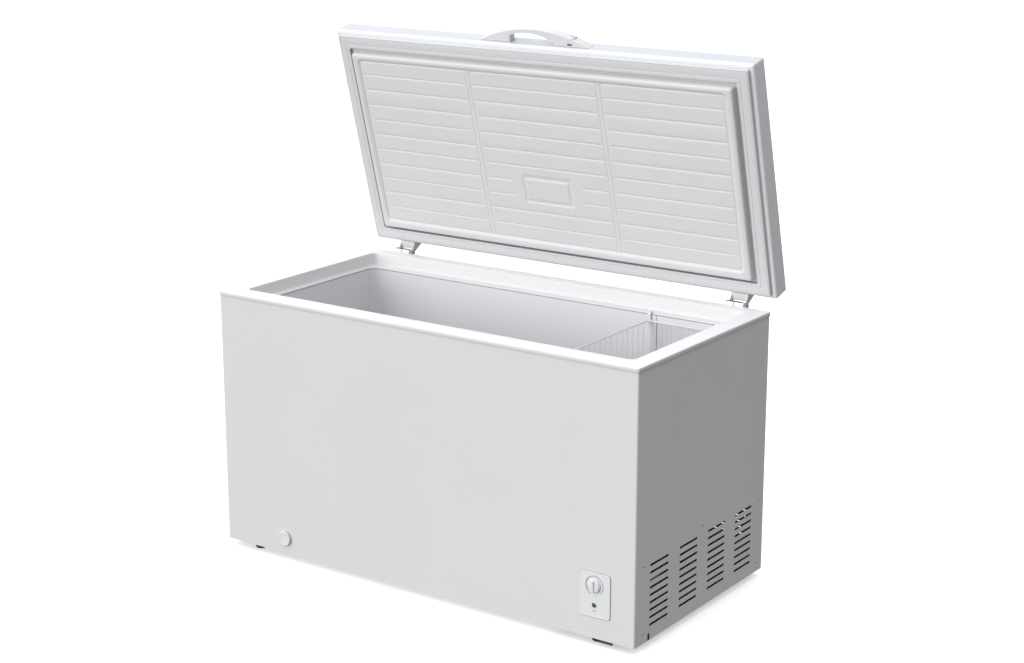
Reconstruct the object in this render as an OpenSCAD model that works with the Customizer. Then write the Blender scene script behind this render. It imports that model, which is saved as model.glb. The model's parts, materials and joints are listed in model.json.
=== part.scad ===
// Chest freezer with an insulated lid, front drain, side vents and a hanging wire basket.
// Millimetres, +Z up. X runs along the width, the front faces -Y, and the floor is z = 0
// below the middle of the cabinet. The lid is drawn open.

/* [Cabinet] */
// Width of the painted cabinet
cab_w = 1420; // [1380:10:1460]
// Depth of the painted cabinet
cab_d = 697; // [680:1:710]
// Height of the rim's top face above the floor
rim_z = 780; // [760:5:800]
// Gap between the floor and the cabinet's lower edge
foot_h = 20; // [18:1:24]
// Thickness of the painted steel sheet
sheet = 1; // [0.8:0.1:1.2]
// Outer radius of the sheet's folded corners
bend_r = 5; // [3:1:8]
// Width of the wrap's folds at the back
rear_fold = 20; // [15:1:30]

/* [Rim and interior] */
// How far the rim collar stands out past the sheet
rim_over = 2.5; // [1.5:0.5:4]
// Thickness of the collar's top flange
rim_t = 10; // [8:1:12]
// How far the collar's outer lip covers the sheet
rim_lip = 3; // [2:1:5]
// Wall of the moulded collar
collar_t = 3; // [2:0.5:3.5]
// Width of the collar's top flange at each side
flange_side = 53; // [50:1:56]
// Width of the collar's top flange at the front
flange_front = 59.5; // [58:0.5:62]
// Width of the collar's top flange at the back
flange_back = 48.5; // [47:0.5:52]
// Depth of the sloping throat below the rim
throat_h = 35; // [30:1:40]
// How far the throat leans inward
throat_lean = 11; // [8:1:12]
// Width of the ledge that carries the basket
ledge_w = 14; // [12:1:16]
// Thickness of the inner liner
liner_t = 1.5; // [1:0.5:2]
// Radius of the liner's upright corners
liner_r = 30; // [20:1:40]
// Height of the liner's floor above the ground
floor_z = 85; // [80:1:95]

/* [Compressor bay] */
// Width of the bay at the right end
bay_w = 269; // [260:1:280]
// Height of the bay's ceiling above the ground
bay_top = 275; // [270:1:285]
// Foam between the bay and the liner
bay_foam = 58; // [50:1:62]
// Thickness of the bay's sheet metal
bay_t = 1.2; // [1:0.1:1.5]

/* [Vents] */
// Number of columns of slots
vent_cols = 4; // [2:1:4]
// Number of slots in a column
vent_rows = 9; // [4:1:9]
// Length of one slot
vent_w = 95; // [80:1:110]
// Height of one slot
vent_h = 7; // [5:1:9]
// Spacing of the columns
vent_dx = 152; // [140:1:155]
// Spacing of the slots in a column
vent_dz = 20.9; // [18:0.1:22]
// Height of the lowest slot
vent_z = 62; // [58:1:66]

/* [Lid] */
// Width of the lid
lid_w = 1424; // [1384:10:1464]
// Thickness of the lid
lid_t = 58; // [54:1:64]
// Gap between the rim and the closed lid's lower face
lid_gap = 12; // [12:1:14]
// Angle at which the lid is drawn open
lid_open = 75; // [70:1:80]
// Width of the shell's folded lower edge
lid_return = 12; // [10:1:14]
// How far the lid liner's raised field stands down
plug_h = 24; // [20:1:26]
// Gap between the gasket's cushion and the rim when closed
seal_clear = 0.3; // [0.3:0.1:0.6]
// Width of the gasket
gasket_w = 34; // [28:1:36]
// Depth of the three panels pressed into the lid liner
panel_depth = 4.4; // [2:0.1:6]
// Number of grooves across each panel
groove_count = 10; // [6:1:12]
// Spacing of the grooves
groove_dy = 48.4; // [40:0.1:50]

/* [Hinges] */
// Distance of the hinge pin behind the cabinet's middle
hinge_y = 375; // [374:1:378]
// Height of the hinge pin
hinge_z = 777; // [775:1:779]
// Distance of each hinge from the middle of the cabinet
hinge_x = 592; // [560:1:620]
// Width across a hinge bracket
hinge_w = 60; // [56:1:66]
// Thickness of the hinge plates
hinge_t = 2.5; // [2:0.5:3]
// Radius of the hinge pin
pin_r = 4; // [3.5:0.1:4.5]
// Radius of the hinge spring's wire
spring_wire_r = 1.7; // [1.3:0.1:1.9]
// Turns in the hinge spring
spring_turns = 7; // [5:1:8]

/* [Handle and lock] */
// Overall length of the handle
handle_l = 380; // [360:5:400]
// How far the handle stands out from the lid
handle_out = 44; // [40:1:48]
// Height of the handle's bar
handle_h = 27; // [24:1:30]
// Height of the bar's underside above the lid's lower edge
handle_rise = 16; // [14:1:18]
// Place of the lock along the handle
lock_x = 128; // [126:1:132]
// Radius of the lock cylinder
lock_r = 8; // [7:0.5:8.5]

/* [Controls] */
// Place of the control panel's middle along the front
panel_x = 587; // [580:1:595]
// Height of the control panel's middle
panel_z = 143; // [138:1:150]
// Width of the control panel
panel_w = 96; // [92:1:100]
// Height of the control panel
panel_h = 125; // [120:1:130]
// Height of the knob's axis
knob_z = 169; // [166:1:172]
// Radius of the knob
knob_r = 19.5; // [17:0.5:21]
// Height of the pilot lamp
lamp_z = 115.5; // [112:0.5:118]

/* [Drain] */
// Place of the drain along the front
drain_x = -485; // [-520:5:-450]
// Height of the drain's axis
drain_z = 67; // [65:1:68]
// Radius of the drain dial
dial_r = 22.5; // [20:0.5:24]
// Distance of the floor drain behind the front sheet
drain_run = 150; // [140:5:180]

/* [Feet] */
// Radius of a foot
foot_r = 17; // [14:1:20]
// Distance of the feet from the front and back sheets
foot_in = 38; // [30:1:45]
// Place of the left feet
foot_left_x = -615; // [-640:5:-590]
// Place of the right feet
foot_right_x = 575; // [560:5:600]

/* [Basket] */
// Length of the basket along the freezer
basket_l = 258; // [240:2:262]
// Depth of the basket from its top wire to its floor
basket_h = 215; // [180:5:230]
// Wall of the basket's wire mesh
basket_t = 4; // [3:0.5:5]

/* [Refrigeration] */
// Radius of the compressor's shell
comp_r = 80; // [70:1:84]
// Height of the compressor's shell
comp_h = 175; // [150:5:180]
// Loops of evaporator tube round the liner
evap_loops = 5; // [3:1:5]
// Radius of the evaporator tube
evap_r = 4; // [3:0.5:4.5]
// Radius of the condenser tube
cond_r = 2.5; // [2:0.5:3]

/* [Hidden] */
$fn = 48;
eps = 0.5;
big = 3000;

half_w = cab_w / 2;
half_d = cab_d / 2;
wrap_top = rim_z - rim_t;
in_w = half_w - sheet;
in_d = half_d - sheet;
base_z = foot_h + bay_t;

// Throat and interior
open_x = half_w - flange_side;
open_front = -half_d + flange_front;
open_back = half_d - flange_back;
ledge_z = rim_z - throat_h;
ledge_t = 4;
liner_x = open_x - throat_lean - ledge_w;
liner_front = open_front + throat_lean + ledge_w + 2;
liner_back = open_back - throat_lean - ledge_w - 12;
liner_top = ledge_z - ledge_t;
bay_x = in_w - bay_w;
tray_x2 = in_w - 3;
tray_d = in_d - 0.2;
hump_x = bay_x - bay_foam;
hump_top = bay_top + bay_foam;

// Lid
lid_z = rim_z + lid_gap;
lid_top = lid_z + lid_t;
lid_liner_t = 2;
plug_x = open_x - 4;
plug_front = open_front + 2;
plug_back = open_back - 7;
plug_z = lid_z - plug_h;
plug_lean = 3;
plug_bevel = 4;
bend_h = 4;
gasket_out = lid_return + 1;
gasket_h = lid_gap - seal_clear;
panels_x = plug_x - 29;
panels_front = plug_front + 24.5;
panels_back = plug_back - 32;
panel_step = 5;
mid_panel = 217;
panel_gap = 14.5;
side_panel = panels_x - mid_panel - panel_gap;
groove_w = 4;
groove_depth = 0.8;
groove_y = panels_front + 43;
frame_x = 86;
frame_front = 48.5;
frame_back = 139.5;
frame_w = 15;
frame_clear = 120;

// Hinges
hinge_plate_h = 120;
hinge_plate_z = rim_z - rim_t - rim_lip - 1;
leaf_w = hinge_w - 2 * hinge_t - 1;
ear_r = 9;
spring_r = 8.5;
spring_l = leaf_w - 2 * hinge_t - 10;
web_y = half_d + rim_over + 2;
web_top = rim_z + 9;
web_slot = 2.4;
leaf_screw_z = (lid_z + 6 + lid_top) / 2;
leaf_screw_x = 13;
screw_r = 2.5;

// Handle and lock
handle_z = lid_z + handle_rise;
arch_r = (pow(handle_l / 2, 2) + pow(handle_out, 2)) / (2 * handle_out);
grip_left = -80;
grip_right = 78;
grip_mid = -20;
grip_out = handle_out - 13;
grip_r = (pow(grip_right - grip_mid, 2) + pow(grip_out, 2)) / (2 * grip_out);
lock_z = handle_z + 14;
tongue_l = 28;
tongue_w = 8;
lock_face = 29;
fit = 0.05;

// Controls
bezel_t = 3;
spindle_r = 3;
bezel_y = -half_d;
knob_depth = 12.5;

// Drain
spout_r = 10;
spout_bore = 7.5;
sleeve_t = 2.5;
floor_drain_y = -half_d + drain_run;
plug_r = 11;

// Feet and base
foot_y = half_d - foot_in;
notch_y = -278;
notch_w = 10;
notch_h = 19;

// Basket
basket_x2 = liner_x - 5;
basket_x1 = basket_x2 - basket_l;
basket_y1 = liner_front + 5;
basket_y2 = liner_back - 5;
basket_top = ledge_z - 20;
hook_w = 10;
hook_t = 4;

// Refrigeration
comp_x = bay_x + bay_w / 2 + 2;
comp_y = 70;
cradle_z = foot_h + bay_t + 14;
comp_z = cradle_z + 3;
bolt_dx = 85;
bolt_dy = 62;
tube_r = 3.2;
stub_l = 26;
stub_out = stub_l * sin(70);
stub_up = stub_l * cos(70);

// A rectangle with round corners
module rounded_rect(w, d, r) {
  square([w - 2 * r, d], center = true);
  square([w, d - 2 * r], center = true);
  for (x = [-1, 1], y = [-1, 1])
    translate([x * (w / 2 - r), y * (d / 2 - r)]) circle(r);
}

// A rectangle with round corners between two corners
module rounded_span(x1, x2, y1, y2, r) {
  translate([(x1 + x2) / 2, (y1 + y2) / 2]) rounded_rect(x2 - x1, y2 - y1, r);
}

// A block between two corners
module block(a, b) {
  translate(a) cube(b - a);
}

// Direction from one point to another
function toward(a, b) = (b - a) / norm(b - a);

// Normal of the mitre at point i of a path
function mitre(path, i) =
  i == 0 ? toward(path[0], path[1])
  : i == len(path) - 1 ? toward(path[i - 1], path[i])
  : let (v = toward(path[i - 1], path[i]) + toward(path[i], path[i + 1])) v / norm(v);

// The rings of a tube, each one the last slid along its stretch to the next mitre
function tube_rings(path, ring, i = 0) =
  i == len(path) - 1 ? [ring]
  : let (d = toward(path[i], path[i + 1]), m = mitre(path, i + 1))
    concat([ring], tube_rings(path, [
      for (q = ring) q + d * (((path[i + 1] - q) * m) / (d * m))
    ], i + 1));

// A bent tube through a list of points
module pipe(path, r, sides = 8) {
  d = toward(path[0], path[1]);
  side = abs(d[2]) > 0.7 ? [1, 0, 0] : [0, 0, 1];
  u = cross(d, side) / norm(cross(d, side));
  v = cross(d, u);
  ring = [
    for (k = [0 : sides - 1])
      let (a = 360 * k / sides) path[0] + r * (cos(a) * u + sin(a) * v)
  ];
  n = len(path) - 1;
  walls = [
    for (i = [0 : n - 1], k = [0 : sides - 1])
      let (a = i * sides + k, b = i * sides + (k + 1) % sides) [a, b, b + sides, a + sides]
  ];
  polyhedron([for (q = tube_rings(path, ring)) each q], concat(
    [[for (k = [sides - 1 : -1 : 0]) k]], walls, [[for (k = [0 : sides - 1]) n * sides + k]]
  ));
}

// A pan-head screw whose head sits on z = 0 and whose shank points down
module screw(r, l) {
  translate([0, 0, -l]) cylinder(r = r, h = l + eps);
  difference() {
    cylinder(r1 = 2 * r, r2 = 1.6 * r, h = r);
    translate([0, 0, r]) cube([2.2 * r, 0.5 * r, r], center = true);
    translate([0, 0, r]) cube([0.5 * r, 2.2 * r, r], center = true);
  }
}

// Turns the closed lid's shapes to the angle at which it is drawn
module opened() {
  translate([0, hinge_y, hinge_z]) rotate([-lid_open, 0, 0]) translate([0, -hinge_y, -hinge_z])
    children();
}

// The round-ended slots of the compressor bay's side
module side_vents() {
  for (c = [0 : vent_cols - 1], k = [0 : vent_rows - 1])
    translate([half_w, (c - (vent_cols - 1) / 2) * vent_dx, vent_z + k * vent_dz]) {
      cube([6 * sheet, vent_w - vent_h, vent_h], center = true);
      for (s = [-1, 1]) translate([0, s * (vent_w - vent_h) / 2, 0])
        rotate([0, 90, 0]) cylinder(d = vent_h, h = 6 * sheet, center = true);
    }
}

// Places of the screws in the right side sheet, as depth and height
side_screw_at = [[-310, 238], [-310, 50], [0, 259], [312, 238], [312, 50]];

module at_side_screws() {
  for (p = side_screw_at) translate([half_w, p[0], p[1]]) rotate([0, 90, 0]) children();
}

// Painted sheet folded round the front and both sides
module cabinet_wrap() {
  color("whitesmoke") difference() {
    translate([0, 0, foot_h]) linear_extrude(wrap_top - foot_h) difference() {
      rounded_rect(cab_w, cab_d, bend_r);
      rounded_rect(2 * in_w, 2 * in_d, bend_r - sheet);
      translate([-half_w + rear_fold, half_d - 2 * sheet])
        square([cab_w - 2 * rear_fold, 4 * sheet]);
    }
    side_vents();
    at_side_screws() cylinder(r = 2.1, h = 8, center = true);
    translate([half_w, notch_y, foot_h]) cube([4 * sheet, notch_w, 2 * notch_h], center = true);
    translate([panel_x, -half_d, panel_z]) cube([70, 4 * sheet, 100], center = true);
    translate([drain_x, -half_d, drain_z]) rotate([90, 0, 0])
      cylinder(r = spout_r + sleeve_t + 0.2, h = 8, center = true);
  }
}

// Frame of the opening at the back of the compressor bay, as low and high corners
rear_hole = [[bay_x + 24, foot_h + 24], [half_w - rear_fold - 14, bay_top - 16]];

// Steel sheet between the wrap's rear folds
module rear_panel() {
  color("gainsboro") difference() {
    block([-half_w + rear_fold, in_d, foot_h], [half_w - rear_fold, half_d, wrap_top]);
    block([rear_hole[0][0], half_d - 9, rear_hole[0][1]],
      [rear_hole[1][0], half_d + 9, rear_hole[1][1]]);
    at_rear_cover_screws() cylinder(r = 2.1, h = 12, center = true);
    at_bracket_screws() cylinder(r = screw_r + 0.1, h = 12, center = true);
  }
}

// Keeps what lies inside the painted sheet
module inside_wrap() {
  intersection() {
    children();
    linear_extrude(rim_z) rounded_rect(2 * in_w, 2 * in_d, bend_r - sheet);
  }
}

// Galvanised sheet under the foam
module bottom_panel() {
  color("silver") inside_wrap() difference() {
    block([-in_w, -in_d, foot_h], [bay_x - 0.2, in_d, base_z]);
    for (s = [-1, 1]) translate([foot_left_x, s * foot_y, foot_h])
      cylinder(r = 4.2, h = 8, center = true);
  }
}

// The throat's tapered space, grown outward by g and starting at the height z1
module throat(g, z1, z2) {
  lean = throat_lean / throat_h;
  low = (z1 - rim_z) * lean;
  high = (z2 - rim_z) * lean;
  intersection() {
    translate([0, big / 2, 0]) rotate([90, 0, 0]) linear_extrude(big) polygon([
      [-open_x - g - low, z1], [open_x + g + low, z1],
      [open_x + g + high, z2], [-open_x - g - high, z2]
    ]);
    translate([-big / 2, 0, 0]) rotate([90, 0, 90]) linear_extrude(big) polygon([
      [open_front - g - low, z1], [open_back + g + low, z1],
      [open_back + g + high, z2], [open_front - g - high, z2]
    ]);
  }
}

// The storage space between the liner's walls, grown outward by g, with the step over the bay
module storage(g, z2) {
  difference() {
    translate([0, 0, floor_z - g]) linear_extrude(z2 - floor_z + g)
      rounded_span(-liner_x - g, liner_x + g, liner_front - g, liner_back + g, liner_r + g);
    block([hump_x + g, -big, floor_z - g - 1], [big, big, hump_top - g]);
  }
}

// Foamed insulation between the sheet and the liner
module cabinet_foam() {
  color("khaki") difference() {
    translate([0, 0, base_z]) linear_extrude(wrap_top - base_z)
      rounded_rect(2 * in_w, 2 * in_d, bend_r - sheet);
    storage(liner_t, wrap_top + 1);
    throat(collar_t, liner_top, wrap_top + 1);
    block([bay_x - bay_t, -big, 0], [big, big, bay_top + bay_t]);
    drain_way(spout_r + sleeve_t);
    for (s = [-1, 1]) translate([foot_left_x, s * foot_y, foot_h]) cylinder(r = 4.2, h = 16);
    at_bracket_screws() translate([0, 0, -14]) cylinder(r = screw_r + 0.1, h = 16);
  }
}

// Liner with the step over the compressor bay
module inner_liner() {
  color("gainsboro") difference() {
    storage(liner_t, liner_top);
    storage(0, liner_top + 1);
    translate([drain_x, floor_drain_y, floor_z - 4]) cylinder(r = plug_r + 0.3, h = 8);
    translate([bay_x - bay_foam + 22, -60, hump_top - 4]) cylinder(r = 2.2, h = 8);
  }
}

// White moulded frame: top flange, outer lip, sloping throat and the ledge for the basket
module rim_collar() {
  color("white") difference() {
    union() {
      translate([0, 0, wrap_top]) linear_extrude(rim_t)
        rounded_rect(cab_w + 2 * rim_over, cab_d + 2 * rim_over, bend_r + rim_over);
      translate([0, 0, wrap_top - rim_lip]) linear_extrude(rim_lip + eps) difference() {
        rounded_rect(cab_w + 2 * rim_over, cab_d + 2 * rim_over, bend_r + rim_over);
        rounded_rect(cab_w + 0.4, cab_d + 0.4, bend_r + 0.2);
      }
      throat(collar_t, liner_top, wrap_top + eps);
    }
    throat(0, ledge_z, rim_z + 1);
    translate([0, 0, liner_top - 1]) linear_extrude(ledge_t + 2)
      rounded_span(-liner_x, liner_x, liner_front, liner_back, liner_r);
  }
}

// Steel tray across the bottom of the compressor bay
module base_tray() {
  color("dimgray") difference() {
    block([bay_x, -tray_d, foot_h], [tray_x2, tray_d, foot_h + 16]);
    block([bay_x + bay_t, -tray_d + bay_t, base_z],
      [tray_x2 - bay_t, tray_d - bay_t, foot_h + 20]);
    at_comp_bolts() cylinder(r = 4.1, h = 60, center = true);
    for (s = [-1, 1]) translate([foot_right_x, s * foot_y, foot_h])
      cylinder(r = 4.2, h = 10, center = true);
    for (k = [0 : 4]) translate([bay_x + 50 + 40 * k, -180, foot_h])
      cube([10, 110, 10], center = true);
  }
}

// Sheet-metal ceiling, inner wall and posts of the compressor bay
module bay_frame() {
  z1 = foot_h + 16.3;
  color("lightgray") inside_wrap() difference() {
    union() {
      block([bay_x - bay_t, -in_d, bay_top], [in_w, in_d, bay_top + bay_t]);
      block([bay_x - bay_t, -in_d, base_z], [bay_x - 0.1, in_d, bay_top + eps]);
      block([in_w - bay_t, -in_d, bay_top - 30], [in_w, in_d, bay_top + eps]);
      for (y = [-310, 312]) block([in_w - bay_t, y - 18, z1], [in_w, y + 18, bay_top]);
    }
    at_side_screws() cylinder(r = 1.9, h = 30, center = true);
    translate([bay_x, -60, bay_top - 60]) rotate([0, 90, 0]) cylinder(r = 3, h = 8, center = true);
  }
}

// Louvred plate over the opening at the back of the bay
module rear_cover() {
  m = 9;
  w = rear_hole[1][0] - rear_hole[0][0];
  color("gainsboro") difference() {
    union() {
      block([rear_hole[0][0] - m, half_d, rear_hole[0][1] - m],
        [rear_hole[1][0] + m, half_d + sheet, rear_hole[1][1] + m]);
      for (k = [0 : 7])
        block([rear_hole[0][0] + 20, half_d + sheet - 0.2, rear_hole[0][1] + 66 + 18 * k],
          [rear_hole[1][0] - 20, half_d + 4, rear_hole[0][1] + 74 + 18 * k]);
    }
    for (k = [0 : 7])
      block([rear_hole[0][0] + 22, half_d - 1, rear_hole[0][1] + 65 + 18 * k],
        [rear_hole[1][0] - 22, half_d + 3, rear_hole[0][1] + 72 + 18 * k]);
    at_rear_cover_screws() cylinder(r = 2.1, h = 12, center = true);
    translate([rear_hole[0][0] + w / 2, half_d, rear_hole[0][1] + 26]) rotate([90, 0, 0])
      cylinder(r = 8.2, h = 12, center = true);
  }
}

module at_rear_cover_screws() {
  for (x = [rear_hole[0][0] - 4.5, rear_hole[1][0] + 4.5],
       z = [rear_hole[0][1] + 12, rear_hole[1][1] - 12])
    translate([x, half_d + sheet, z]) rotate([-90, 0, 0]) children();
}

// Screws of the right side sheet and of the rear cover
module panel_screws() {
  color("silver") {
    at_side_screws() screw(1.8, 9);
    at_rear_cover_screws() screw(1.8, 10);
  }
}

// Corner of a rectangular loop, by its number
function loop_corner(i, x, y1, y2) =
  let (c = i % 4) [c == 0 || c == 3 ? x : -x, c < 2 ? y1 : y2];

// A tube wound in rectangular loops, each dz above the one before
function loop_path(loops, x, y1, y2, z, dz) = [
  for (i = [0 : 4 * loops]) concat(loop_corner(i, x, y1, y2), [z + i * dz / 4])
];

// Evaporator tube wound round the outside of the liner
module evaporator_tube() {
  g = liner_t + evap_r + 1;
  color("silver")
    pipe(loop_path(evap_loops, liner_x + g, liner_front - g, liner_back + g,
      hump_top + 30, (liner_top - hump_top - 90) / evap_loops), evap_r);
}

// Condenser tube wound just inside the painted sheet
module condenser_tube() {
  g = cond_r + 2;
  color("peru")
    pipe(loop_path(4, in_w - g, -in_d + g, in_d - g, bay_top + 40, 80), cond_r);
}

module at_comp_bolts() {
  for (x = [-1, 1], y = [-1, 1])
    translate([comp_x + x * bolt_dx, comp_y + y * bolt_dy, cradle_z]) children();
}

// Hermetic compressor: two pressed bowls with a welded seam, and its pipe stubs
module compressor() {
  r = comp_r;
  h = comp_h;
  color("black") translate([comp_x, comp_y, comp_z]) {
    rotate_extrude() difference() {
      union() {
        translate([0, 40]) square([r, h - 90]);
        intersection() {
          translate([0, 40]) scale([1, 0.5]) circle(r);
          translate([0, 0]) square([r, 40 + eps]);
        }
        intersection() {
          translate([0, h - 50]) circle(r);
          translate([0, h - 50 - eps]) square([r, 50]);
        }
        translate([0, h * 0.55]) square([r + 5, 6]);
      }
      translate([-2 * r, -r]) square([2 * r, 4 * r]);
    }
    translate([-r + 12, -40, h * 0.3]) rotate([0, -70, 0]) cylinder(r = 4, h = stub_l);
    translate([-40, r - 14, h * 0.3]) rotate([-70, 0, 0]) cylinder(r = 4, h = stub_l);
  }
}

// Pressed plate that carries the compressor
module compressor_cradle() {
  color("dimgray") difference() {
    translate([comp_x, comp_y, cradle_z]) linear_extrude(3)
      rounded_rect(2 * bolt_dx + 36, 2 * bolt_dy + 36, 12);
    at_comp_bolts() cylinder(r = 7.2, h = 20, center = true);
  }
}

// Rubber grommets between the cradle and the tray
module compressor_grommets() {
  color("black") at_comp_bolts() difference() {
    union() {
      translate([0, 0, base_z - cradle_z]) cylinder(r = 11, h = cradle_z - base_z);
      cylinder(r = 7, h = 3);
      translate([0, 0, 3]) cylinder(r = 11, h = 5);
    }
    cylinder(r = 4.1, h = 60, center = true);
  }
}

// Bolts and nuts through the grommets
module compressor_bolts() {
  color("silver") at_comp_bolts() {
    translate([0, 0, foot_h - 2 - cradle_z]) cylinder(r = 4, h = 34);
    translate([0, 0, foot_h - 5 - cradle_z]) cylinder(r = 7, h = 5, $fn = 6);
    translate([0, 0, 8]) cylinder(r = 9, h = 1.5);
    translate([0, 0, 9.5]) cylinder(r = 7, h = 5, $fn = 6);
  }
}

// Plastic cover of the start relay and overload
module relay_cover() {
  color("dimgray") translate([comp_x - 30, comp_y - comp_r - 40, comp_z + 55])
    difference() {
      cube([60, 44, 62]);
      translate([2, 6, 2]) cube([56, 44, 58]);
      translate([30, -1, 14]) rotate([-90, 0, 0]) cylinder(r = 5.3, h = 8);
      translate([30, 40 + comp_r, -1]) cylinder(r = comp_r + 5.5, h = 64);
    }
}

drier_at = [comp_x + 70, -120, foot_h + 120];

// Copper filter drier with tapered ends
module filter_drier() {
  color("peru") translate(drier_at) rotate([90, 0, 0]) rotate_extrude() polygon([
    [0, 0], [3, 0], [3, 12], [9.5, 24], [9.5, 96], [3, 108], [3, 120], [0, 120]
  ]);
}

// Return tube from the insulation to the compressor
module suction_tube() {
  s = [comp_x - comp_r + 12 - stub_out, comp_y - 40, comp_z + comp_h * 0.3 + stub_up];
  color("peru") pipe([
    s, s + 0.3 * [-stub_out, 0, stub_up], s + [-16, 0, 18], s + [-16, 0, 110],
    [s[0] - 18, s[1] - 40, bay_top - 30], [s[0] - 18, s[1] - 40, bay_top + 20]
  ], tube_r);
}

// Pressure tube from the compressor to the condenser
module discharge_tube() {
  s = [comp_x - 40, comp_y + comp_r - 14 + stub_out, comp_z + comp_h * 0.3 + stub_up];
  color("peru") pipe([
    s, s + 0.3 * [0, stub_out, stub_up], s + [0, 16, 18], s + [0, 16, 130],
    [s[0] + 40, s[1] + 30, bay_top - 26], [s[0] + 40, s[1] + 30, bay_top + 20]
  ], tube_r);
}

// Thin tube from the drier to the evaporator
module capillary_tube() {
  a = drier_at + [0, -120, 0];
  color("peru") pipe([
    a, a + [0, -14, 0], a + [0, -24, 30], a + [-30, -24, 80], [a[0] - 60, a[1] - 10, bay_top + 18]
  ], 1.3);
}

thermostat_at = [panel_x, -half_d + 20, knob_z];

// Thermostat behind the control panel
module thermostat_body() {
  color("silver") translate(thermostat_at) difference() {
    union() {
      translate([-22, 0, -17]) cube([44, 34, 34]);
      rotate([90, 0, 0]) cylinder(r = 6, h = 14);
    }
    translate([0, 10, 0]) rotate([90, 0, 0]) cylinder(r = spindle_r + fit, h = 34);
  }
}

// Fine sensor tube from the thermostat to the liner over the bay
module sensor_tube() {
  s = thermostat_at + [-22, 24, 8];
  color("peru") pipe([
    s, s + [-8, 0, 0], s + [-30, 20, 0], [bay_x + 40, -120, s[2] + 20],
    [bay_x + 12, -60, bay_top - 60], [bay_x - 30, -60, bay_top - 60],
    [bay_x - bay_foam + 22, -60, bay_top], [bay_x - bay_foam + 22, -60, hump_top + 3]
  ], 1.2);
}

// Leads from the thermostat and the lamp to the relay, and from the relay to the gland
module wiring_harness() {
  t = thermostat_at + [10, 34, -8];
  r = [comp_x, comp_y - comp_r - 42, comp_z + 69];
  g = [(rear_hole[0][0] + rear_hole[1][0]) / 2, half_d - 16, rear_hole[0][1] + 26];
  color("dimgray") {
    pipe([t, t + [0, 16, 0], r + [14, -50, -6], r + [0, -16, 0], r + [0, 6, 0]], 3);
    pipe([[panel_x, -half_d + 17, lamp_z], [panel_x, -half_d + 44, lamp_z], r + [6, -30, -10],
      r + [0, -12, 0]], 2);
    pipe([r + [0, -10, 0], r + [-50, -14, -30], [bay_x + 16, r[1], foot_h + 40],
      [bay_x + 16, g[1] - 40, foot_h + 40], [g[0] - 30, g[1] - 30, g[2]], g], 3.5);
  }
}

// Grommet where a mains lead would leave the rear cover
module cord_gland() {
  g = [(rear_hole[0][0] + rear_hole[1][0]) / 2, half_d, rear_hole[0][1] + 26];
  color("black") translate(g) rotate([90, 0, 0]) difference() {
    union() {
      translate([0, 0, -9]) cylinder(r = 11, h = 8);
      translate([0, 0, -1]) cylinder(r = 8, h = 5);
      translate([0, 0, 1]) cylinder(r = 11, h = 3);
    }
    cylinder(r = 4, h = 40, center = true);
  }
}

// Control panel's bezel with its printed-dial recess
module control_panel() {
  color("white") translate([0, bezel_y, 0]) rotate([90, 0, 0]) difference() {
    union() {
      linear_extrude(bezel_t)
        translate([panel_x, panel_z]) rounded_rect(panel_w, panel_h, 9);
      translate([0, 0, -5]) linear_extrude(5 + eps)
        translate([panel_x, panel_z]) rounded_rect(68, 98, 6);
    }
    translate([0, 0, -6]) linear_extrude(5) translate([panel_x, panel_z]) rounded_rect(64, 94, 4);
    translate([panel_x, knob_z, 0]) cylinder(r = 6.3, h = 20, center = true);
    translate([panel_x, lamp_z, 0]) cylinder(r = 5.6, h = 20, center = true);
  }
}

// Green pilot lamp
module pilot_lamp() {
  color("darkgreen") translate([panel_x, -half_d, lamp_z]) rotate([90, 0, 0]) {
    translate([0, 0, -17]) cylinder(r = 5.5, h = 20);
    translate([0, 0, 3]) cylinder(r1 = 7.4, r2 = 6.6, h = 1.2);
    intersection() {
      translate([0, 0, -1.4]) sphere(8);
      translate([0, 0, 4]) cylinder(r = 5.4, h = 4);
    }
  }
}

// Knob with a raised pointer rib
module thermostat_knob() {
  y0 = -half_d - bezel_t - 0.5;
  color("white") difference() {
    union() {
      translate([panel_x, y0, knob_z]) rotate([90, 0, 0]) {
        cylinder(r = knob_r, h = 4);
        cylinder(r1 = knob_r - 1, r2 = knob_r - 3, h = 9);
      }
      block([panel_x - 3.5, y0 - knob_depth, knob_z - knob_r + 3],
        [panel_x + 3.5, y0 - 4, knob_z + knob_r - 3]);
    }
    translate([panel_x, y0, knob_z]) rotate([90, 0, 0])
      cylinder(r = spindle_r, h = 20, center = true);
  }
}

// Steel spindle that the knob is pressed onto
module thermostat_spindle() {
  color("silver") translate([panel_x, -half_d - bezel_t - 10.5, knob_z]) rotate([-90, 0, 0])
    cylinder(r = spindle_r, h = bezel_t + 35);
}

// The drain's path through the foam, at radius r
module drain_way(r) {
  translate([drain_x, -half_d - 4, drain_z]) rotate([-90, 0, 0]) cylinder(r = r, h = 104);
  translate([drain_x, -half_d + 99, drain_z]) rotate([-90, 0, 0])
    cylinder(r = r, h = drain_run - 99);
  translate([drain_x, floor_drain_y, drain_z]) sphere(r);
  translate([drain_x, floor_drain_y, drain_z]) cylinder(r = r, h = floor_z - liner_t - drain_z);
}

// Fixed sleeve that guides the drain spout
module drain_sleeve() {
  color("white") translate([drain_x, -half_d, drain_z]) rotate([-90, 0, 0]) difference() {
    union() {
      translate([0, 0, -1.5]) cylinder(r = spout_r + sleeve_t + 4, h = 1.5);
      translate([0, 0, -eps]) cylinder(r = spout_r + sleeve_t, h = 98 + eps);
    }
    translate([0, 0, -3]) cylinder(r = spout_r + fit, h = 120);
  }
}

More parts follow.
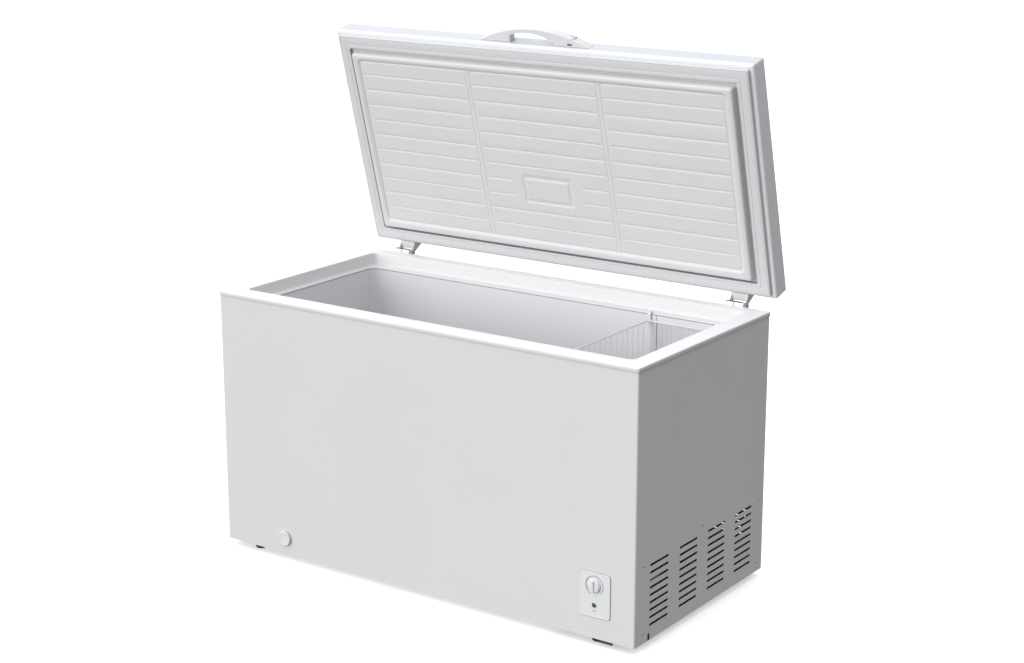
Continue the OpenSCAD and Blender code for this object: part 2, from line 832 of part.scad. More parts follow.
// Elbow from the floor drain to the sleeve
module drain_elbow() {
  color("white") difference() {
    intersection() {
      drain_way(spout_r + sleeve_t - 0.2);
      block([-big, -half_d + 98.2, 0], [big, big, floor_z - liner_t - 0.1]);
    }
    intersection() {
      drain_way(spout_r);
      block([-big, -half_d + 90, 0], [big, big, floor_z + 5]);
    }
    translate([drain_x, floor_drain_y, drain_z]) cylinder(r = spout_r, h = 40);
  }
}

// Sliding drain tube that is pulled out to empty the freezer
module drain_spout() {
  color("white") translate([drain_x, -half_d - 2, drain_z]) rotate([-90, 0, 0]) difference() {
    cylinder(r = spout_r, h = 92);
    translate([0, 0, -1]) cylinder(r = spout_bore, h = 100);
    translate([0, spout_r, 6]) cube([8, 10, 6], center = true);
  }
}

// Round dial on the end of the spout
module drain_dial() {
  color("white") translate([drain_x, -half_d - 2.4, drain_z]) rotate([90, 0, 0]) difference() {
    union() {
      cylinder(r = dial_r, h = 3.4);
      translate([0, 0, 3.4 - eps]) cylinder(r1 = dial_r - 1.2, r2 = dial_r - 4, h = 3 + eps);
      translate([0, 0, -10]) cylinder(r = spout_bore - fit, h = 10 + eps);
    }
    translate([0, 0, -12]) cylinder(r = spout_bore - 2.5, h = 13);
    translate([0, dial_r - 9, 6]) cylinder(r = 2.4, h = 3);
  }
}

// Soft plug in the floor drain, with a finger ring
module drain_plug() {
  color("white") translate([drain_x, floor_drain_y, floor_z + 0.2]) {
    translate([0, 0, -6]) cylinder(r = spout_r - 0.6, h = 6.5);
    cylinder(r1 = 17, r2 = 15, h = 4);
    translate([0, 1.5, 11]) rotate([90, 0, 0]) difference() {
      union() {
        cylinder(r = 8, h = 3);
        translate([-8, -9, 0]) cube([16, 9, 3]);
      }
      translate([0, 0, -1]) cylinder(r = 4.5, h = 5);
    }
  }
}

// Foot at a place: a ribbed pad on a threaded stem
module foot(x, y) {
  color("black") translate([x, y, 0]) {
    cylinder(r1 = foot_r - 2, r2 = foot_r, h = 3);
    translate([0, 0, 3]) cylinder(r = foot_r, h = 6);
    translate([0, 0, 9]) cylinder(r1 = foot_r, r2 = foot_r - 6, h = foot_h - 9);
    translate([0, 0, foot_h - eps]) cylinder(r = 4, h = 15);
  }
}

module foot_front_left() { foot(foot_left_x, -foot_y); }
module foot_front_right() { foot(foot_right_x, -foot_y); }
module foot_rear_left() { foot(foot_left_x, foot_y); }
module foot_rear_right() { foot(foot_right_x, foot_y); }

// Folded steel strip that stiffens the tray beside the front right foot
module foot_bracket() {
  color("dimgray") difference() {
    block([foot_right_x + foot_r + 2, -half_d + 3, foot_h - 9],
      [foot_right_x + 66, -half_d + 60, foot_h - 0.1]);
    block([foot_right_x + foot_r + 1, -half_d + 5, foot_h - 10],
      [foot_right_x + 70, -half_d + 62, foot_h - 2]);
  }
}

// Plastic plug in the bottom sheet near the front
module base_plug() {
  color("black") translate([505, -half_d + 16, 0]) {
    translate([0, 0, foot_h - 6]) cylinder(r1 = 6, r2 = 8.5, h = 6);
  }
}

// Puts a hinge piece at the right hinge, or mirrors it to the left one
module at_hinge(side) {
  translate([side * hinge_x, 0, 0]) children();
}

module at_bracket_screws() {
  for (s = [-1, 1], x = [-1, 1], z = [24, 96])
    translate([s * hinge_x + x * (hinge_w / 2 - 14), half_d + hinge_t, hinge_plate_z - z])
      rotate([-90, 0, 0]) children();
}

// Puts a YZ outline at the place x with a thickness
module upright(x, t) {
  translate([x, 0, 0]) rotate([90, 0, 90]) linear_extrude(t) children();
}

// Steel bracket on the cabinet's back: plate, two cheeks and the slotted web in front of the pin
module hinge_bracket(side) {
  low = hinge_plate_z - hinge_plate_h;
  color("white") at_hinge(side) difference() {
    union() {
      block([-hinge_w / 2, half_d, low], [hinge_w / 2, half_d + hinge_t, hinge_plate_z]);
      for (x = [-hinge_w / 2, hinge_w / 2 - hinge_t]) difference() {
        upright(x, hinge_t) bracket_ear_shape(low);
        translate([x - 1, hinge_y, hinge_z]) rotate([0, 90, 0])
          cylinder(r = pin_r + fit, h = 9);
      }
      block([-hinge_w / 2, web_y, hinge_z - 24], [hinge_w / 2, web_y + hinge_t, web_top]);
    }
    block([-web_slot / 2, web_y - 1, hinge_z - 5], [web_slot / 2, web_y + hinge_t + 1, web_top + 1]);
    for (x = [-1, 1], z = [24, 96])
      translate([x * (hinge_w / 2 - 14), half_d, hinge_plate_z - z]) rotate([90, 0, 0])
        cylinder(r = screw_r + 0.1, h = 12, center = true);
  }
}

// Side outline of the bracket's cheek
module bracket_ear_shape(low) {
  polygon([
    [half_d + 0.5, low], [half_d + 12, low], [hinge_y + ear_r, hinge_z - 34],
    [hinge_y + ear_r, hinge_z], [web_y, hinge_z], [web_y, hinge_plate_z - 3],
    [half_d + 0.5, hinge_plate_z - 3]
  ]);
  polygon([
    [web_y, hinge_z - eps], [hinge_y + ear_r, hinge_z - eps], [hinge_y + 6, web_top - 2],
    [web_y, web_top]
  ]);
}

// Steel leaf on the lid's back: plate, shelf and two ears inside the bracket's cheeks
module hinge_leaf(side) {
  z0 = lid_z + 3;
  z1 = lid_z + 10;
  z2 = lid_top - 4;
  y1 = half_d;
  color("white") opened() at_hinge(side) difference() {
    union() {
      block([-leaf_w / 2, y1, z0], [leaf_w / 2, y1 + hinge_t, z2]);
      block([-leaf_w / 2, y1, z0], [leaf_w / 2, hinge_y - 3, z0 + hinge_t]);
      for (x = [-leaf_w / 2, leaf_w / 2 - hinge_t]) upright(x, hinge_t) {
        polygon([
          [y1 + 1, z1], [hinge_y - 7, hinge_z - 2], [hinge_y, hinge_z - ear_r + 1],
          [hinge_y + 7, hinge_z], [y1 + 14, z2], [y1 + 1, z2]
        ]);
        translate([hinge_y, hinge_z]) circle(ear_r - 1);
      }
    }
    translate([-leaf_w, hinge_y, hinge_z]) rotate([0, 90, 0])
      cylinder(r = pin_r + fit, h = 2 * leaf_w);
    for (x = [-1, 1]) translate([x * leaf_screw_x, y1, leaf_screw_z]) rotate([90, 0, 0])
      cylinder(r = screw_r + 0.1, h = 12, center = true);
  }
}

module hinge_bracket_left() { hinge_bracket(-1); }
module hinge_bracket_right() { hinge_bracket(1); }
module hinge_leaf_left() { hinge_leaf(-1); }
module hinge_leaf_right() { hinge_leaf(1); }

// Pin through a bracket's cheeks
module hinge_pin(side) {
  color("silver") at_hinge(side) translate([-hinge_w / 2 - 2, hinge_y, hinge_z])
    rotate([0, 90, 0]) {
      cylinder(r = pin_r, h = hinge_w + 4);
      translate([0, 0, -1.5]) cylinder(r = pin_r + 2, h = 3.3);
      translate([0, 0, hinge_w + 2.2]) cylinder(r = pin_r + 2, h = 3.3);
    }
}

module hinge_pin_left() { hinge_pin(-1); }
module hinge_pin_right() { hinge_pin(1); }

// Points round a wire's section on a coil, at the turn angle a
function coil_ring(a, pitch, sides) = [
  for (k = [0 : sides - 1])
    let (b = 360 * k / sides, r = spring_r + spring_wire_r * cos(b))
      [a / 360 * pitch + spring_wire_r * sin(b), r * cos(a), r * sin(a)]
];

// Torsion spring round the pin
module hinge_spring(side) {
  steps = 20;
  sides = 6;
  n = spring_turns * steps;
  pitch = spring_l / (spring_turns + 1);
  points = [for (i = [0 : n]) each coil_ring(i * 360 / steps, pitch, sides)];
  walls = [
    for (i = [0 : n - 1], k = [0 : sides - 1])
      let (a = i * sides + k, b = i * sides + (k + 1) % sides)
        [a, b, b + sides, a + sides]
  ];
  color("silver") at_hinge(side)
    translate([-spring_turns * pitch / 2, hinge_y, hinge_z])
      polyhedron(points, concat(
        [[for (k = [sides - 1 : -1 : 0]) k]], walls, [[for (k = [0 : sides - 1]) n * sides + k]]
      ));
}

module hinge_spring_left() { hinge_spring(-1); }
module hinge_spring_right() { hinge_spring(1); }

// Screws of both cabinet brackets
module hinge_bracket_screws() {
  color("silver") at_bracket_screws() screw(screw_r, 12);
}

// Screws of both lid leaves
module hinge_leaf_screws() {
  color("silver") opened()
    for (s = [-1, 1], x = [-1, 1])
      translate([s * hinge_x + x * leaf_screw_x, half_d + hinge_t, leaf_screw_z])
        rotate([-90, 0, 0]) screw(screw_r, 12);
}

// Painted steel pan of the lid with its folded lower edge
module lid_shell() {
  color("whitesmoke") opened() difference() {
    translate([0, 0, lid_z]) linear_extrude(lid_t) rounded_rect(lid_w, cab_d, 4);
    translate([0, 0, lid_z + sheet]) linear_extrude(lid_t - 2 * sheet)
      rounded_rect(lid_w - 2 * sheet, cab_d - 2 * sheet, 3);
    translate([0, 0, lid_z - 1]) linear_extrude(4)
      rounded_rect(lid_w - 2 * lid_return, cab_d - 2 * lid_return, 4);
    for (s = [-1, 1], x = [-1, 1])
      translate([s * hinge_x + x * leaf_screw_x, half_d, leaf_screw_z]) rotate([90, 0, 0])
        cylinder(r = screw_r + 0.1, h = 9, center = true);
    at_handle_screws() cylinder(r = 2.1, h = 9, center = true);
  }
}

// Block whose sides lean evenly between an upper and a lower rectangle
module leaning_block(upper, upper_z, lower, lower_z) {
  corners = [[0, 0], [1, 0], [1, 1], [0, 1]];
  points = concat(
    [for (c = corners) [lower[c[0]][0], lower[c[1]][1], lower_z]],
    [for (c = corners) [upper[c[0]][0], upper[c[1]][1], upper_z]]);
  polyhedron(points, [[0, 1, 2, 3], [4, 7, 6, 5], [0, 4, 5, 1], [1, 5, 6, 2], [2, 6, 7, 3],
    [3, 7, 4, 0]]);
}

// Corners of the raised field's outline, d smaller all round
function field_at(d) = [[-plug_x + d, plug_front + d], [plug_x - d, plug_back - d]];

// Raised field of the lid's liner up to a level, g smaller all round
module lid_field(g, top) {
  difference() {
    union() {
      leaning_block(field_at(g), lid_z + 6, field_at(plug_lean + g), plug_z + plug_bevel + g);
      leaning_block(field_at(plug_lean + g), plug_z + plug_bevel + g,
        field_at(plug_lean + plug_bevel + g), plug_z + g);
    }
    block([-plug_x - 1, plug_front - 1, top], [plug_x + 1, plug_back + 1, lid_z + 7]);
    block([-panels_x - panel_step - g, panels_front - panel_step - g, plug_z - 1],
      [panels_x + panel_step + g, panels_back + panel_step + g, plug_z + panel_depth + g]);
  }
}

// Straight groove pressed into the panels between two points of its rectangle
module groove(x1, x2, y1, y2) {
  z = plug_z + panel_depth;
  block([x1, y1, z - 1], [x2, y2, z + groove_depth]);
}

// Groove all round a rectangle, w wide and inside it
module groove_round(x1, x2, y1, y2, w) {
  groove(x1, x2, y1, y1 + w);
  groove(x1, x2, y2 - w, y2);
  groove(x1, x1 + w, y1, y2);
  groove(x2 - w, x2, y1, y2);
}

// Grooves round and across the three panels, and the pressed frame in the middle one
module lid_grooves() {
  g = groove_w / 2;
  for (s = [-1, 1]) {
    mid = s * (panels_x - side_panel / 2);
    groove_round(mid - side_panel / 2 - g, mid + side_panel / 2 + g, panels_front - g,
      panels_back + g, groove_w);
    for (k = [0 : groove_count - 1]) {
      y = groove_y + k * groove_dy;
      groove(mid - side_panel / 2 + 7, mid + side_panel / 2 - 7, y - g, y + g);
      broken = y + g > frame_front && y - g < frame_back;
      near = broken ? frame_clear : 0;
      groove(min(s * near, s * (mid_panel - 7)), max(s * near, s * (mid_panel - 7)), y - g, y + g);
    }
  }
  groove_round(-mid_panel - g, mid_panel + g, panels_front - g, panels_back + g, groove_w);
  groove_round(-frame_x, frame_x, frame_front, frame_back, frame_w);
}

// The lid's foam, down into the liner's raised field
module lid_foam() {
  t = lid_liner_t;
  color("khaki") opened() difference() {
    union() {
      translate([0, 0, lid_z + t]) linear_extrude(bend_h)
        rounded_rect(lid_w - 2 * lid_return, cab_d - 2 * lid_return, 3);
      translate([0, 0, lid_z + t + bend_h - eps]) linear_extrude(lid_t - t - bend_h - sheet + eps)
        rounded_rect(lid_w - 2 * sheet, cab_d - 2 * sheet, 3);
      lid_field(t, lid_z + 5);
    }
    for (s = [-1, 1], x = [-1, 1])
      translate([s * hinge_x + x * leaf_screw_x, half_d - 8, leaf_screw_z])
        rotate([90, 0, 0]) cylinder(r = screw_r + 0.1, h = 18, center = true);
    at_handle_screws() translate([0, 0, -eps]) cylinder(r = 3.7, h = 2.5);
  }
}

// Formed inner face of the lid: flat frame, raised field and three pressed panels
module lid_liner() {
  t = lid_liner_t;
  color("whitesmoke") opened() difference() {
    union() {
      translate([0, 0, lid_z]) linear_extrude(t)
        rounded_rect(lid_w - 2 * lid_return - 0.4, cab_d - 2 * lid_return - 0.4, 4);
      lid_field(0, lid_z + eps);
    }
    lid_field(t, lid_z + 5);
    lid_grooves();
  }
}

// Soft magnetic gasket round the raised field
module lid_gasket() {
  color("white") opened() translate([0, 0, lid_z - gasket_h]) linear_extrude(gasket_h)
    difference() {
      rounded_rect(lid_w - 2 * gasket_out, cab_d - 2 * gasket_out, 6);
      rounded_rect(lid_w - 2 * (gasket_out + gasket_w), cab_d - 2 * (gasket_out + gasket_w), 3);
    }
}

// Part of a disc that stands out past the lid's front, from the left to the right limit
module arc_segment(x, r, out, left, right) {
  intersection() {
    translate([x, r - out]) circle(r, $fn = 180);
    translate([left, -out - 1]) square([right - left, out + 1]);
  }
}

// Plan of the handle: an arch with the finger opening cut out
module handle_plan() {
  difference() {
    arc_segment(0, arch_r, handle_out, -handle_l / 2, handle_l / 2);
    arc_segment(grip_mid, grip_r, grip_out, grip_left, grip_right + 4);
  }
}

// Arched handle with the lock's boss and the tongue's pocket
module lid_handle() {
  color("white") opened() difference() {
    translate([0, -half_d, 0]) {
      translate([0, 0, handle_z]) linear_extrude(handle_h) handle_plan();
      translate([lock_x, -6, lock_z]) rotate([90, 0, 0]) cylinder(r = 13, h = lock_face - 8);
    }
    translate([lock_x, -half_d, lock_z]) rotate([90, 0, 0]) cylinder(r = lock_r + fit, h = 60);
    block([lock_x - tongue_l - 3, -half_d - 11, handle_z - 1],
      [lock_x + 9, -half_d - 4, lock_z + 9]);
    at_handle_screws() translate([0, 0, -15]) cylinder(r = 1.9, h = 16);
  }
}

// Places of the handle's screws on the lid's front
module at_handle_screws() {
  for (x = [-150, -105, 165])
    translate([x, -half_d + sheet, handle_z + 13]) rotate([-90, 0, 0]) children();
}

// Screws that hold the handle from inside the lid's sheet
module handle_screws() {
  color("silver") opened() at_handle_screws() screw(1.8, 9);
}

// Key cylinder in the handle's right foot
module lock_cylinder() {
  color("silver") opened() translate([lock_x, -half_d, lock_z]) rotate([90, 0, 0]) difference() {
    union() {
      translate([0, 0, 8.4]) cylinder(r = lock_r, h = lock_face - 8.4 - 2.6);
      translate([0, 0, 4.6]) cylinder(r = 4, h = 6);
    }
    translate([0, 0, lock_face]) cube([1.6, 8, 16], center = true);
  }
}

// Lever that the key cylinder swings out of the handle's underside
module lock_tongue() {
  color("dimgray") opened() translate([lock_x, -half_d, lock_z]) rotate([90, 0, 0])
    translate([0, 0, 4.8]) linear_extrude(3.4) difference() {
      union() {
        circle(7.5);
        translate([-tongue_l, -tongue_w / 2]) square([tongue_l, tongue_w]);
      }
      circle(4);
    }
}

// Plan of the basket, shrunk inward by g, with its right corners rounded to clear the liner's
module basket_plan(g) {
  r = liner_r - 4;
  offset(delta = -g) {
    rounded_span(basket_x1, basket_x2, basket_y1, basket_y2, r);
    translate([basket_x1, basket_y1]) square([2 * r, basket_y2 - basket_y1]);
  }
}

// Basket that hangs from the ledge by four hooks
module wire_basket() {
  z1 = basket_top - basket_h;
  color("white") {
    difference() {
      translate([0, 0, z1]) linear_extrude(basket_h) basket_plan(0);
      translate([0, 0, z1 + basket_t]) linear_extrude(basket_h) basket_plan(basket_t);
    }
    for (x = [basket_x1, basket_x2 - liner_r - hook_w]) {
      basket_hook(x, basket_y2 - basket_t, liner_back + ledge_w - 4, -1);
      basket_hook(x, basket_y1 + basket_t, liner_front - ledge_w + 5, 1);
    }
  }
}

// One hook: up from the basket's side wall and out over the ledge
module basket_hook(x, y_wall, y_out, inward) {
  y_a = min(y_wall, y_wall - inward * hook_t);
  block([x, y_a, basket_top - 20], [x + hook_w, y_a + hook_t, ledge_z + hook_t]);
  block([x, min(y_wall - inward * hook_t, y_out), ledge_z + 0.3],
    [x + hook_w, max(y_wall, y_out), ledge_z + hook_t]);
}

cabinet_wrap();
rear_panel();
bottom_panel();
cabinet_foam();
inner_liner();
rim_collar();
base_tray();
bay_frame();
rear_cover();
panel_screws();
evaporator_tube();
condenser_tube();
compressor();
compressor_cradle();
compressor_grommets();
compressor_bolts();
relay_cover();
filter_drier();
suction_tube();
discharge_tube();
capillary_tube();
wiring_harness();
cord_gland();
thermostat_body();
sensor_tube();
control_panel();
pilot_lamp();
drain_sleeve();
drain_elbow();
foot_front_left();
foot_front_right();
foot_rear_left();
foot_rear_right();
foot_bracket();
base_plug();
hinge_bracket_left();
hinge_bracket_right();
hinge_pin_left();
hinge_pin_right();
hinge_spring_left();
hinge_spring_right();
hinge_bracket_screws();
lid_shell();
lid_foam();
lid_liner();
lid_gasket();
lid_handle();
handle_screws();
hinge_leaf_left();
hinge_leaf_right();
hinge_leaf_screws();
lock_cylinder();
lock_tongue();
thermostat_knob();
thermostat_spindle();
drain_spout();
drain_dial();
drain_plug();
wire_basket();
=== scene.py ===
"""Chest freezer: refined pieces and finishes round the CAD frame.

Metres, +Z up, the front faces -Y. Pieces on the lid are shaped as if the lid were shut,
and then turned open with it.
"""
import json
import math

import bmesh
import bpy
import numpy as np
from mathutils import Matrix, Vector


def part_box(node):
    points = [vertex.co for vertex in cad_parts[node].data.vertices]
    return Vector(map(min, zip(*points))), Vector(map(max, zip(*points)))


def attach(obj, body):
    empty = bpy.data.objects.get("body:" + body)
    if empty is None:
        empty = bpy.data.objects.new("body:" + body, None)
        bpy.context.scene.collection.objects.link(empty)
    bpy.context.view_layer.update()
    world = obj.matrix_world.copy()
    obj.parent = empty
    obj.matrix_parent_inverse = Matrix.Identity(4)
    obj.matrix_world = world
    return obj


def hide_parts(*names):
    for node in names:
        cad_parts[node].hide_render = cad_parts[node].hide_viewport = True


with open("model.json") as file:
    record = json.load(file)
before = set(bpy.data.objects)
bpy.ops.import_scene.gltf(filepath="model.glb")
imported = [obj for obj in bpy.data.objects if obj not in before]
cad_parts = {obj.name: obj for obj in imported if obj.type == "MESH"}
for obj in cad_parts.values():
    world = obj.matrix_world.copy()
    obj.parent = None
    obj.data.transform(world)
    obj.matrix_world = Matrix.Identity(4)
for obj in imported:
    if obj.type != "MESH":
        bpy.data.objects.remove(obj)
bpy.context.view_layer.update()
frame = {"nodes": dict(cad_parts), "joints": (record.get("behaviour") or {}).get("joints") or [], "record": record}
scene = bpy.context.scene
nodes = frame["nodes"]
joints = {j["name"]: j for j in frame["joints"]}

MM = 0.001

# The lid's turn from shut to the drawn angle
PIN = Vector(joints["lid_hinge"]["pos_m"])
LID_TURN = math.radians(-joints["lid_hinge"]["range_deg"][0])
OPEN = (
    Matrix.Translation(PIN)
    @ Matrix.Rotation(LID_TURN, 4, Vector(joints["lid_hinge"]["axis"]))
    @ Matrix.Translation(-PIN)
)
SHUT = OPEN.inverted()


def shut_box(node):
    """(lowest corner, highest corner) of one of the lid's CAD nodes with the lid shut."""
    points = np.array([SHUT @ v.co for v in nodes[node].data.vertices])
    return Vector(points.min(axis=0)), Vector(points.max(axis=0))


# --------------------------------------------------------------------------- camera

CAMERA_TARGET = Vector((78.9, 0.0, 701.9)) * MM
CAMERA_AZIMUTH = math.radians(34.944)
CAMERA_HEIGHT = math.radians(15.012)
CAMERA_DISTANCE = 5646.4 * MM
CAMERA_LENS = 70.32


def add_camera():
    """The camera that looks at the front right from a little above."""
    data = bpy.data.cameras.new("camera")
    data.lens = CAMERA_LENS
    data.sensor_width = 36.0
    data.sensor_fit = "HORIZONTAL"
    data.clip_end = 200.0
    camera = bpy.data.objects.new("camera", data)
    scene.collection.objects.link(camera)
    away = Vector((
        math.sin(CAMERA_AZIMUTH) * math.cos(CAMERA_HEIGHT),
        -math.cos(CAMERA_AZIMUTH) * math.cos(CAMERA_HEIGHT),
        math.sin(CAMERA_HEIGHT),
    ))
    camera.location = CAMERA_TARGET + CAMERA_DISTANCE * away
    camera.rotation_euler = away.to_track_quat("Z", "Y").to_euler()
    scene.camera = camera


add_camera()


# ------------------------------------------------------------------------ materials

class Nodes:
    """A short way to build a material's node tree."""

    def __init__(self, name):
        self.material = bpy.data.materials.new(name)
        self.material.use_nodes = True
        self.tree = self.material.node_tree
        self.shader = self.tree.nodes["Principled BSDF"]
        self.place = self.add("ShaderNodeTexCoord").outputs["Object"]

    def add(self, kind, **values):
        node = self.tree.nodes.new(kind)
        for key, value in values.items():
            if hasattr(node, key):
                setattr(node, key, value)
            else:
                node.inputs[key.replace("_", " ")].default_value = value
        return node

    def link(self, out, into):
        self.tree.links.new(out, into)

    def noise(self, scale, detail=3.0, stretch=None):
        """Noise over the surface, scale in features per metre."""
        node = self.add("ShaderNodeTexNoise", Scale=scale, Detail=detail)
        place = self.place
        if stretch:
            mapping = self.add("ShaderNodeMapping", Scale=stretch)
            self.link(place, mapping.inputs["Vector"])
            place = mapping.outputs["Vector"]
        self.link(place, node.inputs["Vector"])
        return node.outputs["Fac"]

    def cells(self, scale, feature="F1"):
        node = self.add("ShaderNodeTexVoronoi", Scale=scale, feature=feature)
        self.link(self.place, node.inputs["Vector"])
        return node

    def spread(self, value, low, high):
        """Maps a 0 to 1 value on low to high."""
        node = self.add("ShaderNodeMapRange", To_Min=low, To_Max=high)
        node.inputs["From Min"].default_value = 0.25
        node.inputs["From Max"].default_value = 0.75
        self.link(value, node.inputs["Value"])
        return node.outputs["Result"]

    def tint(self, value, dark, light):
        """A colour between two colours."""
        node = self.add("ShaderNodeMix", data_type="RGBA")
        first, second = (s for s in node.inputs if s.type == "RGBA")
        first.default_value = (*dark, 1.0)
        second.default_value = (*light, 1.0)
        self.link(value, node.inputs["Factor"])
        return next(s for s in node.outputs if s.type == "RGBA")

    def set(self, socket, value):
        """Sets one of the shader's own sockets, or links a node's output to it."""
        if isinstance(value, bpy.types.NodeSocket):
            self.link(value, self.shader.inputs[socket])
        else:
            self.shader.inputs[socket].default_value = value

    def bump(self, height, distance, strength=1.0):
        node = self.add("ShaderNodeBump", Distance=distance, Strength=strength)
        self.link(height, node.inputs["Height"])
        self.link(node.outputs["Normal"], self.shader.inputs["Normal"])


def shade(colour, factor):
    """A colour made darker or lighter."""
    return tuple(min(1.0, c * factor) for c in colour)


def coated(name, colour, roughness, grain=700.0, depth=0.02, coat=0.0, patch=0.012, metallic=0.0):
    """Paint or moulded plastic: an even colour with faint patches, and a fine surface grain."""
    m = Nodes(name)
    m.set("Base Color", m.tint(m.spread(m.noise(2.2), 0.0, 1.0),
                               shade(colour, 1.0 - patch), shade(colour, 1.0 + patch)))
    m.set("Roughness", m.spread(m.noise(grain * 0.4), roughness - 0.03, roughness + 0.03))
    m.set("Metallic", metallic)
    m.set("Coat Weight", coat)
    m.set("Coat Roughness", 0.08)
    m.bump(m.noise(grain, 2.0), depth * MM)
    return m.material


def galvanised(name, colour, roughness):
    """Zinc-coated sheet with its crystal spangle."""
    m = Nodes(name)
    cells = m.cells(90.0)
    m.set("Base Color", m.tint(cells.outputs["Color"], shade(colour, 0.88), shade(colour, 1.08)))
    m.set("Roughness", m.spread(m.noise(60.0), roughness - 0.07, roughness + 0.07))
    m.set("Metallic", 0.85)
    m.bump(m.noise(900.0), 0.01 * MM)
    return m.material


def drawn_metal(name, colour, roughness):
    """Drawn or turned metal with fine streaks and slight tarnish."""
    m = Nodes(name)
    m.set("Base Color", m.tint(m.spread(m.noise(35.0), 0.0, 1.0),
                               shade(colour, 0.8), shade(colour, 1.1)))
    streaks = m.noise(8.0, stretch=(60.0, 60.0, 60.0))
    m.set("Roughness", m.spread(streaks, roughness - 0.08, roughness + 0.1))
    m.set("Metallic", 1.0)
    m.bump(m.noise(500.0), 0.01 * MM)
    return m.material


def stucco(name, colour, roughness):
    """Painted liner sheet with a soft pebbled embossing."""
    m = Nodes(name)
    m.set("Base Color", m.tint(m.spread(m.noise(3.0), 0.0, 1.0),
                               shade(colour, 0.985), shade(colour, 1.01)))
    m.set("Roughness", m.spread(m.noise(180.0), roughness - 0.04, roughness + 0.04))
    m.bump(m.cells(260.0, "SMOOTH_F1").outputs["Distance"], 0.05 * MM, 0.5)
    return m.material


def foam(name, colour):
    """Closed-cell foam with its cut cells."""
    m = Nodes(name)
    m.set("Base Color", m.tint(m.spread(m.noise(20.0), 0.0, 1.0),
                               shade(colour, 0.85), shade(colour, 1.05)))
    m.set("Roughness", 0.9)
    m.bump(m.cells(700.0).outputs["Distance"], 0.5 * MM)
    return m.material


def lens(name, colour):
    """Coloured clear plastic lens."""
    m = Nodes(name)
    m.set("Base Color", m.tint(m.spread(m.noise(300.0), 0.0, 1.0),
                               shade(colour, 0.7), shade(colour, 1.3)))
    m.set("Roughness", 0.08)
    m.set("Coat Weight", 0.6)
    m.set("Specular IOR Level", 0.6)
    m.bump(m.noise(400.0), 0.02 * MM)
    return m.material


WHITE_PAINT = coated("white_paint", (0.708, 0.705, 0.71), 0.32, 420.0, 0.012, coat=0.2)
# The lid's pan wears two copies of one white paint: a lighter one on its sides as painted light, and a darker
# bluish one on its front face as painted shade.
LID_PAINT_PAINTED_LIGHT = coated("lid_paint_painted_light", (0.83, 0.835, 0.85), 0.32, 420.0, 0.012, coat=0.2)
LID_FRONT_PAINTED_SHADE = coated("lid_front_painted_shade", (0.595, 0.612, 0.65), 0.32, 420.0, 0.012, coat=0.2)
HINGE_WHITE = coated("hinge_white", (0.92, 0.92, 0.92), 0.34, 500.0, 0.012)
# The rim's plastic in two copies: a whiter one for the flange's top as painted light, and a greyer one for the lip
# and throat below it as painted shade.
COLLAR_PAINTED_LIGHT = coated("collar_painted_light", (0.95, 0.95, 0.95), 0.34, 650.0, 0.012)
COLLAR_PAINTED_SHADE = coated("collar_painted_shade", (0.755, 0.755, 0.755), 0.4, 650.0, 0.012)
WHITE_PLASTIC = coated("white_plastic", (0.745, 0.745, 0.755), 0.35, 800.0, 0.012)
LID_LINER = coated("lid_liner_plastic", (0.71, 0.71, 0.715), 0.42, 900.0, 0.01)
GASKET = coated("gasket_vinyl", (0.69, 0.69, 0.70), 0.5, 600.0, 0.015)
LINER_METAL = stucco("liner_metal", (0.76, 0.76, 0.77), 0.38)
GALVANISED = galvanised("galvanised", (0.63, 0.64, 0.65), 0.38)
FOAM = foam("foam", (0.82, 0.74, 0.48))
BLACK_PAINT = coated("black_paint", (0.012, 0.012, 0.013), 0.35, 300.0, 0.03, coat=0.3)
DARK_STEEL = coated("dark_steel", (0.055, 0.056, 0.06), 0.42, 500.0, 0.03, metallic=0.3)
RUBBER = coated("black_rubber", (0.018, 0.018, 0.018), 0.72, 900.0, 0.04)
BLACK_PLASTIC = coated("black_plastic", (0.022, 0.022, 0.023), 0.5, 1100.0, 0.03)
COPPER = drawn_metal("copper", (0.72, 0.38, 0.24), 0.3)
ZINC = drawn_metal("zinc", (0.62, 0.63, 0.64), 0.33)
SPRING_STEEL = drawn_metal("spring_steel", (0.34, 0.35, 0.37), 0.32)
GREEN_LENS = lens("green_lens", (0.004, 0.085, 0.014))
CABLE = coated("cable", (0.05, 0.05, 0.055), 0.6, 900.0, 0.03)
WIRE_COAT = coated("wire_coat", (0.76, 0.76, 0.77), 0.3, 500.0, 0.02)
PRINT = coated("dial_print", (0.08, 0.08, 0.085), 0.6, 900.0, 0.01)
# Grey standing in for shade in narrow gaps: beside the gasket's flap, round the control bezel and under the ledge.
# Painted shade.
PAINTED_SHADE_GREY = coated("painted_shade_grey", (0.30, 0.30, 0.31), 0.6, 900.0, 0.02)
JOINT_DARK = coated("joint_dark", (0.06, 0.06, 0.06), 0.6, 900.0, 0.02)
# Near-black for the walls of the handle's cut pocket: painted shade in the pocket.
POCKET_PAINTED_SHADE = coated("pocket_painted_shade", (0.16, 0.16, 0.165), 0.7, 600.0, 0.02)

BY_SLOT = {
    "white_paint": WHITE_PAINT, "white_plastic": WHITE_PLASTIC, "galvanised": GALVANISED,
    "lid_liner_plastic": LID_LINER, "liner_metal": LINER_METAL, "foam": FOAM, "gasket": GASKET,
    "black_paint": BLACK_PAINT, "dark_steel": DARK_STEEL, "black_rubber": RUBBER,
    "black_plastic": BLACK_PLASTIC, "copper": COPPER, "zinc": ZINC,
    "spring_steel": SPRING_STEEL, "green_lens": GREEN_LENS, "cable": CABLE,
    "wire_coat": WIRE_COAT,
}


# ----------------------------------------------------------------------- mesh tools

